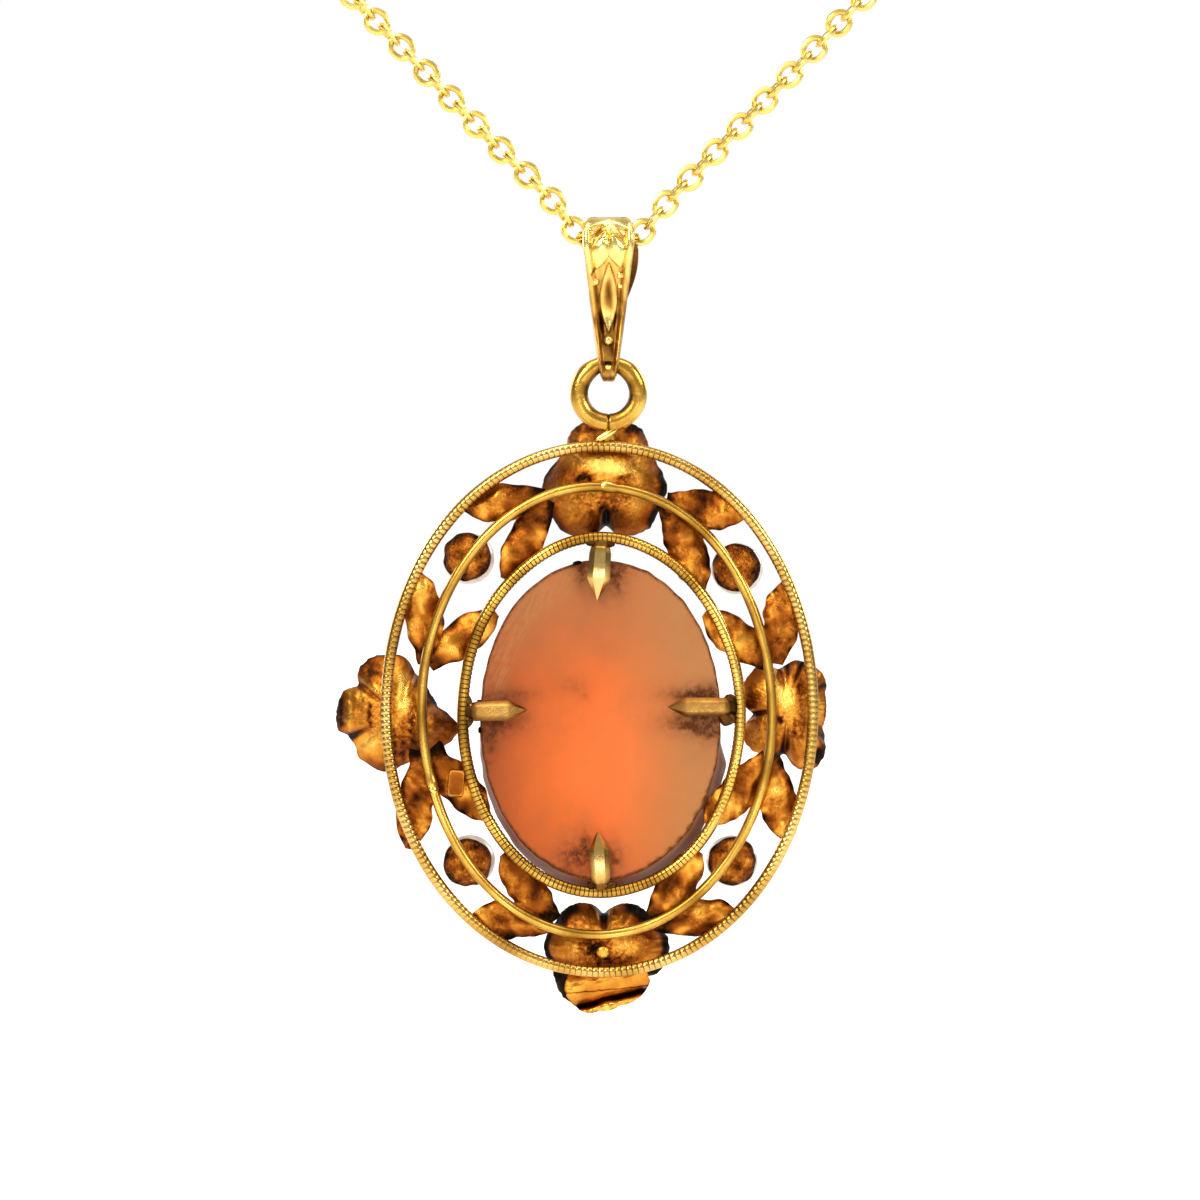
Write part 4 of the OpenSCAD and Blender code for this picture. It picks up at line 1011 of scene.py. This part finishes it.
cameo = {
    "wide": 14.9, "tall": 19.8, "edge": 1.5, "dome": 1.6, "hollow": 0.5, "drop": 0.2, "square": 0.014,
    # how far the front edge stands out beyond the back edge, by angle in degrees
    "flare": [(-180, 0), (-160, 0.3), (-140, 0.45), (-120, 0.6), (-90, 0.72), (-40, 0.72), (-15, 0.65), (-8, 0.1),
              (0, 0), (90, 0), (180, 0)],
    # tan ground band along the edge: middle angle, half spread, share of reach where it lies, half width
    "band": (138, 42, 0.9, 0.1),
    # stains, partly dirt and partly the painted shadow of the claws seen through the shell: across, up, half sizes,
    # how dark
    "stainsAndShadows": [(-1.7, 1.6, 0.7, 0.4, 0.3), (-1.0, 0.8, 0.3, 0.4, 0.3), (-1.15, 8.7, 0.45, 1.0, 0.9),
               (1.0, 8.4, 0.55, 1.1, 1), (0.5, 9.3, 1.4, 0.4, 1), (-5.6, 0.95, 1.3, 0.35, 0.7),
               (-6.6, -0.95, 1.5, 0.55, 0.9), (5.4, 1.0, 1.4, 0.35, 0.8), (6.6, 1.1, 0.7, 0.45, 1),
               (5.8, -0.8, 1.5, 0.55, 1.1), (6.7, -1.1, 0.6, 0.6, 1.1), (-1.6, -9.2, 1.0, 0.9, 0.9),
               (-0.95, -8.3, 0.3, 0.7, 0.8), (0.9, -9.2, 0.4, 0.8, 0.8), (-6.9, -1.8, 0.45, 1.6, 0.8)],
}


def ovalReach(wide, tall, angle):
    # Distance from an oval's middle to its edge in a direction
    return 1 / math.hypot(math.cos(angle) / wide, math.sin(angle) / tall)


def frontEdge(a):
    # The back edge's reach and the flare by angle
    table = np.array(cameo["flare"])
    back = ovalReach(cameo["wide"] / 2, cameo["tall"] / 2, a) - cameo["drop"] * math.sin(a)
    return back + float(np.interp(math.degrees(a), table[:, 0], table[:, 1]))


def barPart(stations, turn, grimeAndPaintedLight, start=(0.0, 0.0)):
    # Sections along a bar: distance, then a list of (depth, side) corners, all turned about the Y axis
    c, s = math.cos(turn), math.sin(turn)
    rows = []
    for distance, corners in stations:
        corner = np.array(corners, float)
        x, side = np.full(len(corner), float(distance)), corner[:, 1]
        rows.append(np.stack([x * c - side * s + start[0], corner[:, 0], x * s + side * c + start[1]], 1))
    points = np.array(rows)
    dark = np.broadcast_to(np.array(grimeAndPaintedLight, float).reshape(len(points), -1), points.shape[:2])
    return gridPart(onFrame(points), dark, colsClose=True, caps=True, grain=0.2)


def prongParts(angle, tip, root, wide, tone):
    near, t = -prongs["gap"], prongs["thick"]
    turn = math.atan2(root[1] - tip[1], root[0] - tip[0])
    long = math.hypot(root[1] - tip[1], root[0] - tip[0])

    def section(k, lift=1.0):
        # flat underside, two bevels and a flat ridge
        return [(near, -wide / 2 * k), (near - t * 0.4 * lift, -wide / 2 * k), (near - t * lift, -wide / 4 * k),
                (near - t * lift, wide / 4 * k), (near - t * 0.4 * lift, wide / 2 * k), (near, wide / 2 * k)]
    point = wide * 0.9
    stations = [(0, section(0.04, 0.12)), (0.1, section(0.13, 0.3)), (point, section(0.97, 0.92)),
                (point + 0.15, section(1.0)), (long * 0.55, section(0.98)), (long - 0.75, section(0.95)),
                (long - 0.45, section(0.86, 0.8)), (long - 0.3, section(0.72, 0.55)), (long, section(0.72, 0.5))]
    along = np.array([0.5, 0.36, 0.28, 0.26, 0.24, 0.3, 0.45, 0.7, 0.75]) + tone
    # painted light across each bar: dark flanks as painted shade, the ridge lighter as a painted highlight
    flanks = np.array([0.4, 0.24, -0.14, -0.06, 0.1, 0.4])
    parts = [barPart(stations, turn, np.clip(along[:, None] + flanks, 0, 1), tip)]
    # claw: a post from under the rim past the cameo's edge, and a hook over its front
    a, w = math.radians(angle), prongs["clawWide"]
    base = (0.0, -layout["rimDrop"][0])
    post = ovalReach(layout["halfWide"][0], layout["halfTall"][0], a)
    ground = cameo["edge"] + cameo["dome"] * (1 - (1 - prongs["claw"] / frontEdge(a)) ** 2)

    def box(low, high, k=0.5):
        return [(low, -w * k), (low, w * k), (high, w * k), (high, -w * k)]
    parts.append(barPart([(post - t * 0.35, box(0.1, cameo["edge"] + 0.1 + t)), (post + t * 0.35,
                          box(0.1, cameo["edge"] + 0.1 + t))], a, [0.6, 0.6], base))
    parts.append(barPart([
        (frontEdge(a) - prongs["claw"], box(ground + 0.2, ground + 0.2 + t / 2, 0.2)),
        (frontEdge(a) - prongs["claw"] * 0.4, box((ground + cameo["edge"]) / 2 + 0.32, ground + 0.35 + t / 2, 0.4)),
        (post + t * 0.35, box(cameo["edge"] + 0.2, cameo["edge"] + 0.2 + t))], a, [0.15, 0.15, 0.3], base))
    return parts


parts = []
for angle, tip, root, wide, tone in prongs["bars"]:
    parts += prongParts(angle, tip, root, wide, tone)
for index, (x, z, wide, tall, turn, grimeAndPaintedLight) in enumerate(prongs["solder"]):
    parts.append(blobPart(onFrame(np.array([x, -0.08, z])), (wide, 0.24, tall), 600 + index, grimeAndPaintedLight, 0.16, turn))
putPiece("prongs", parts, prongGold, "pendant", ["frame"], 25)
print("prongs ready")


# Jump ring with its seam, a lump of solder and the end of a strip

ring = {"outside": 4.78, "wire": 1.12}
ringMiddle = np.array([0.0, 0.0, layout["ringPivot"] - (ring["outside"] - ring["wire"]) / 2])


def jumpRingPart():
    # Torus whose wire is hammered a little, with a narrow seam cut at its lowest point
    steps, sides = 220, 24
    u = turns(steps)[:, None]
    v = turns(sides)[None, :]
    centre = (ring["outside"] - ring["wire"]) / 2
    seam = hump((u - 1.5 * math.pi) * centre, 0.07)
    worn = hump(u - 0.5 * math.pi, 0.6, 4)      # thinner where it hangs in the bail
    r = ring["wire"] / 2 * (1 - 0.1 * seam - 0.15 * worn + 0.02 * ripple(u * centre + 0 * v, v + 0 * u, 9, 1.4))
    across = centre + r * np.cos(v)
    points = np.stack([across * np.cos(u), r * np.sin(v) + 0 * u, across * np.sin(u)], -1) + ringMiddle
    pitted = np.clip(ripple(np.cos(u) * 4, np.sin(u) * 4 + 0 * v, 14, 3.5), 0, 1)
    # painted shade on the ring's inner side, towards its hole
    dark = 0.28 + 0.4 * seam + 0.5 * np.clip(-np.cos(v), 0, 1) ** 1.5 + 0.1 * ripple(u * centre, v, 12, 2.2)
    return gridPart(points, np.clip(dark + 0.1 * pitted, 0, 1), True, True, grain=0.2 + 0.7 * pitted)


solderTop = ringMiddle + np.array([0, 0, -ring["outside"] / 2])
parts = [jumpRingPart(),
         blobPart(solderTop + np.array([0.0, 0.05, -0.15]), (0.42, 0.4, 0.6), 21, 0.5, 0.15),
         blobPart(solderTop + np.array([-0.1, -0.3, -0.2]), (0.2, 0.12, 0.74), 22, 0.06, 0.1, -61)]
putPiece("jumpRing", parts, rimGold, "pendant", ["frame"])
print("jump ring ready")


# Cameo: a helmet shell oval, smooth orange back, carved front with a spray of flowers

def petalRise(x, z, px, pz, angle, long, wide, high):
    # A rounded drop shape from its root outwards: 1 along its ridge, 0 at its edge
    a = math.radians(angle)
    u = (x - px) * math.cos(a) + (z - pz) * math.sin(a)
    v = -(x - px) * math.sin(a) + (z - pz) * math.cos(a)
    t = ramp(u, long)
    half = wide / 2 * np.sqrt(np.clip(np.sin(np.pi * t ** 0.75), 0, 1)) + 1e-6
    body = np.clip(1 - (v / half) ** 2, 0, 1) * (u > 0) * (u < long)
    vein = 1 - 0.3 * hump(v, 0.12)
    return high * np.sqrt(body) * vein * (0.55 + 0.45 * t)


def carving(x, z):
    # Height of the relief over the domed ground: a five-petalled flower, buds and leaves on stems
    rise = np.zeros_like(x)
    for k in range(5):
        rise = np.maximum(rise, petalRise(x, z, 0, 0, 20 + 72 * k, 3.5, 2.9, 0.5))
    for k in range(5):
        rise = np.maximum(rise, petalRise(x, z, 0, 0, 56 + 72 * k, 1.9, 1.6, 0.62))
    rise = np.maximum(rise, 0.6 * np.sqrt(np.clip(1 - (x ** 2 + z ** 2) / 0.5, 0, 1)))
    for side in (-1, 1):
        for level in (-5.32, -7.09):
            angle = -38 if side > 0 else 218
            rise = np.maximum(rise, petalRise(x, z, side * 0.5, level + 0.2, angle, 3.6, 1.5, 0.45))
        rise = np.maximum(rise, petalRise(x, z, side * 0.3, 3.0, 90 - side * 24, 3.2, 1.5, 0.42))
    stem = hump(x + 0.15 * np.sin(z), 0.16) * (z < -1) * (z > -8.2)
    return np.maximum(rise, 0.28 * stem)


def cameoPart():
    # An oval polar grid: out over the hollow back, round the edge and in again over the carved dome.
    # The oval is a little squarer than an ellipse above, and grows by the flare's table to the front.
    rays = 300
    a = np.linspace(-math.pi, math.pi, rays, endpoint=False)[None, :]
    nick = 1 + 0.003 * ripple(np.cos(a) * 9, np.sin(a) * 9, 70, 1.6)
    nick = nick + cameo["square"] * np.sin(2 * a) ** 2 * (0.3 + 0.7 * (np.sin(a) > 0))
    table = np.array(cameo["flare"])
    flare = np.interp(np.degrees(a), table[:, 0], table[:, 1])
    back = np.concatenate([np.linspace(0.02, 0.95, 60), [0.965, 0.978, 0.99]])
    front = np.linspace(0.985, 0.02, 90)
    rows = [(s, cameo["hollow"] * (1 - s ** 2), 0.0) for s in back]
    rows += [(1.0, 0.06, 0), (1.003, 0.2, 0), (1.001, cameo["edge"] * 0.4, 0.05),
             (1.0, cameo["edge"] * 0.62, 0.5), (1.0, cameo["edge"] * 0.85, 1), (0.998, cameo["edge"] * 0.95, 1)]
    rows += [(s, cameo["edge"] + cameo["dome"] * (1 - s ** 2), 1) for s in front]
    share, depth, grow = (np.array(rows)[:, k][:, None] for k in range(3))
    shell = share * nick
    x = (cameo["wide"] / 2 + grow * flare) * shell * np.cos(a)
    z = (cameo["tall"] / 2 + grow * flare) * shell * np.sin(a) - layout["rimDrop"][0] - cameo["drop"]
    isFront = (np.arange(len(rows)) >= len(back) + 6)[:, None]
    y = depth + np.where(isFront, carving(x, z), 0) + 0 * a
    # stains by the prongs, partly dirt and partly a painted shadow of the claws seen through the shell, each with a
    # wide halo of painted shade, and a dark crumbly line along the edge, thickest at the lower right
    noise = ripple(x, z, 71, 0.7) + 0.6 * ripple(x, z, 72, 0.3)
    crumbs = hump(np.degrees(a) + 48, 24, 4) + 0.5 * hump(np.degrees(a) + 130, 25, 4)
    stainAndShadow = hump(share - 0.998, 0.012) * (1.1 + 0.2 * noise)
    stainAndShadow = stainAndShadow + 0.8 * crumbs * hump(share - 0.985, 0.012) * np.clip(0.4 + noise, 0, 1)
    for sx, sz, wide, tall, strong in cameo["stainsAndShadows"]:
        spot = spotAt(x - sx, wide, z - sz, tall)
        near = spotAt((x - sx) / wide, 1.9, (z - sz) / tall, 1.9)
        stainAndShadow = stainAndShadow + 0.82 * strong * (spot * np.clip(0.85 + 0.5 * noise, 0, 1) + 0.34 * near)
    angle, spread, reach, wide = cameo["band"]
    band = spotAt(np.degrees(a) - angle, spread, share - reach, wide, 4)
    band = band * np.clip(0.85 + 0.3 * noise, 0, 1)
    stainAndShadow = np.clip(stainAndShadow, 0, 1) * (depth < 0.6)
    points = onFrame(np.stack([x, y, z], -1))
    return gridPart(points, stainAndShadow, colsClose=True, caps=True, grain=band * (depth < 0.6))


shellLooks = {
    # the shell's own orange with a painted glow where light would pass through the thin middle, from the glow's
    # middle outwards
    "paintedGlow": [(0.1, "#E0682A"), (0.42, "#C75E1F"), (0.72, "#AD5018"), (1.0, "#8E4413")],
    # the stain colour serves the dirt and the painted shadow by the prongs
    "rust": "#8E3E10", "sand": "#A97442", "tan": "#A96C3E", "white": "#EFE0D2", "side": "#7E5A52", "stainAndShadow": "#52280F",
    "paintedGlowAt": (0.00005, 0.0, -0.1785), "paintedGlowSize": (120, 30, 74),      # per metre
}
# Helmet shell: cut and ground, waxy and a little translucent, its colour brightest where it is thinnest, a painted
# glow for the light through it
shellStone, tree = newMaterial("groundHelmetShell")
place = addNode(tree, "TexCoord").outputs["Object"]
axes = addNode(tree, "SeparateXYZ", None, {0: place}).outputs
haze = addNode(tree, "TexNoise", {"Scale": 220.0, "Detail": 5.0, "Roughness": 0.6},
               {"Vector": place}).outputs["Fac"]
haze = addNode(tree, "Math", {"operation": "MULTIPLY_ADD", 1: 0.6, 2: -0.3}, {0: haze}).outputs[0]
apart = addNode(tree, "VectorMath", {"operation": "SUBTRACT", 1: shellLooks["paintedGlowAt"]}, {0: place})
squeezed = addNode(tree, "VectorMath", {"operation": "MULTIPLY", 1: shellLooks["paintedGlowSize"]},
                   {0: apart.outputs[0]})
far = addNode(tree, "VectorMath", {"operation": "LENGTH"}, {0: squeezed.outputs[0]}).outputs["Value"]
far = addNode(tree, "Math", {"operation": "ADD"}, {0: far, 1: haze}).outputs[0]
toned = addNode(tree, "ValToRGB", {"stops": shellLooks["paintedGlow"]}, {0: far}).outputs["Color"]
# tone, axis, where it begins and is full in metres, and how full
for tone, axis, begin, full, most in (("sand", 0, -0.0005, 0.0052, 0.85), ("sand", 2, -0.1742, -0.1672, 0.5),
                                      ("rust", 0, -0.0052, -0.0078, 0.6), ("rust", 2, -0.1834, -0.1866, 0.35)):
    share = addNode(tree, "MapRange", {1: begin, 2: full, 3: 0.0, 4: most}, {0: axes[axis]}).outputs[0]
    share = addNode(tree, "Math", {"operation": "MULTIPLY_ADD", 1: 0.7}, {0: haze, 2: share}).outputs[0]
    share = addNode(tree, "Math", {"operation": "MAXIMUM", 1: 0.0}, {0: share}).outputs[0]
    share = addNode(tree, "Math", {"operation": "MINIMUM", 1: most}, {0: share}).outputs[0]
    toned = addNode(tree, "Mix", {"data_type": "RGBA", 7: linearColour(shellLooks[tone])},
                    {0: share, 6: toned}).outputs[2]
# fine lines from grinding, clearest on the tan band
scratch = addNode(tree, "Mapping", {"Rotation": (0, math.radians(-24), 0)}, {0: place}).outputs[0]
scratch = addNode(tree, "Mapping", {"Scale": (7000, 600, 700)}, {0: scratch}).outputs[0]
scratch = addNode(tree, "TexNoise", {"Scale": 1.0, "Detail": 2.0}, {"Vector": scratch}).outputs["Fac"]
band = addNode(tree, "Attribute", {"attribute_name": "grain"}).outputs["Fac"]
lines = addNode(tree, "MapRange", {1: 0.38, 2: 0.62, 3: 0.2, 4: 0.8}, {0: scratch}).outputs[0]
lines = addNode(tree, "Math", {"operation": "MULTIPLY", "use_clamp": True}, {0: lines, 1: band}).outputs[0]
toned = addNode(tree, "Mix", {"data_type": "RGBA", 7: linearColour(shellLooks["tan"])},
                {0: lines, 6: toned}).outputs[2]
# layers by depth: a greyish pink side, and white on the carved front
for tone, begin, full in (("side", 0.0006, 0.0009), ("white", 0.0019, 0.0031)):
    layer = addNode(tree, "MapRange", {1: begin, 2: full, 3: 0.0, 4: 1.0}, {0: axes[1]}).outputs[0]
    toned = addNode(tree, "Mix", {"data_type": "RGBA", 7: linearColour(shellLooks[tone])},
                    {0: layer, 6: toned}).outputs[2]
# dirt in specks with the painted shadow by the prongs, where the cameo's marks are
dirtAndShade = addNode(tree, "Attribute", {"attribute_name": "grimeAndPaintedLight"}).outputs["Fac"]
speck = addNode(tree, "TexNoise", {"Scale": 2600.0, "Detail": 4.0, "Roughness": 0.7},
                {"Vector": place}).outputs["Fac"]
speck = addNode(tree, "MapRange", {1: 0.36, 2: 0.6, 3: 0.55, 4: 1.15}, {0: speck}).outputs[0]
dirtAndShade = addNode(tree, "Math", {"operation": "MULTIPLY", "use_clamp": True}, {0: dirtAndShade, 1: speck}).outputs[0]
toned = addNode(tree, "Mix", {"data_type": "RGBA", 7: linearColour(shellLooks["stainAndShadow"])},
                {0: dirtAndShade, 6: toned}).outputs[2]
bump = addNode(tree, "Bump", {"Strength": 0.35, "Distance": 0.00001}, {"Height": scratch})
matt = addNode(tree, "MapRange", {1: 0.0, 2: 0.8, 3: 0.4, 4: 0.95}, {0: dirtAndShade}).outputs[0]
surface = addNode(tree, "BsdfPrincipled", {
    "Specular IOR Level": 0.28, "IOR": 1.53, "Subsurface Weight": 0.12, "Subsurface Radius": (1.0, 0.4, 0.2),
    "Subsurface Scale": 0.0012},
    {"Base Color": toned, "Roughness": matt, "Normal": bump.outputs[0]})
addNode(tree, "OutputMaterial", None, {0: surface.outputs[0]})
putPiece("cameoShell", [cameoPart()], shellStone, "pendant", ["cameo"], 50)
print("cameo ready")

print("all pieces in place")
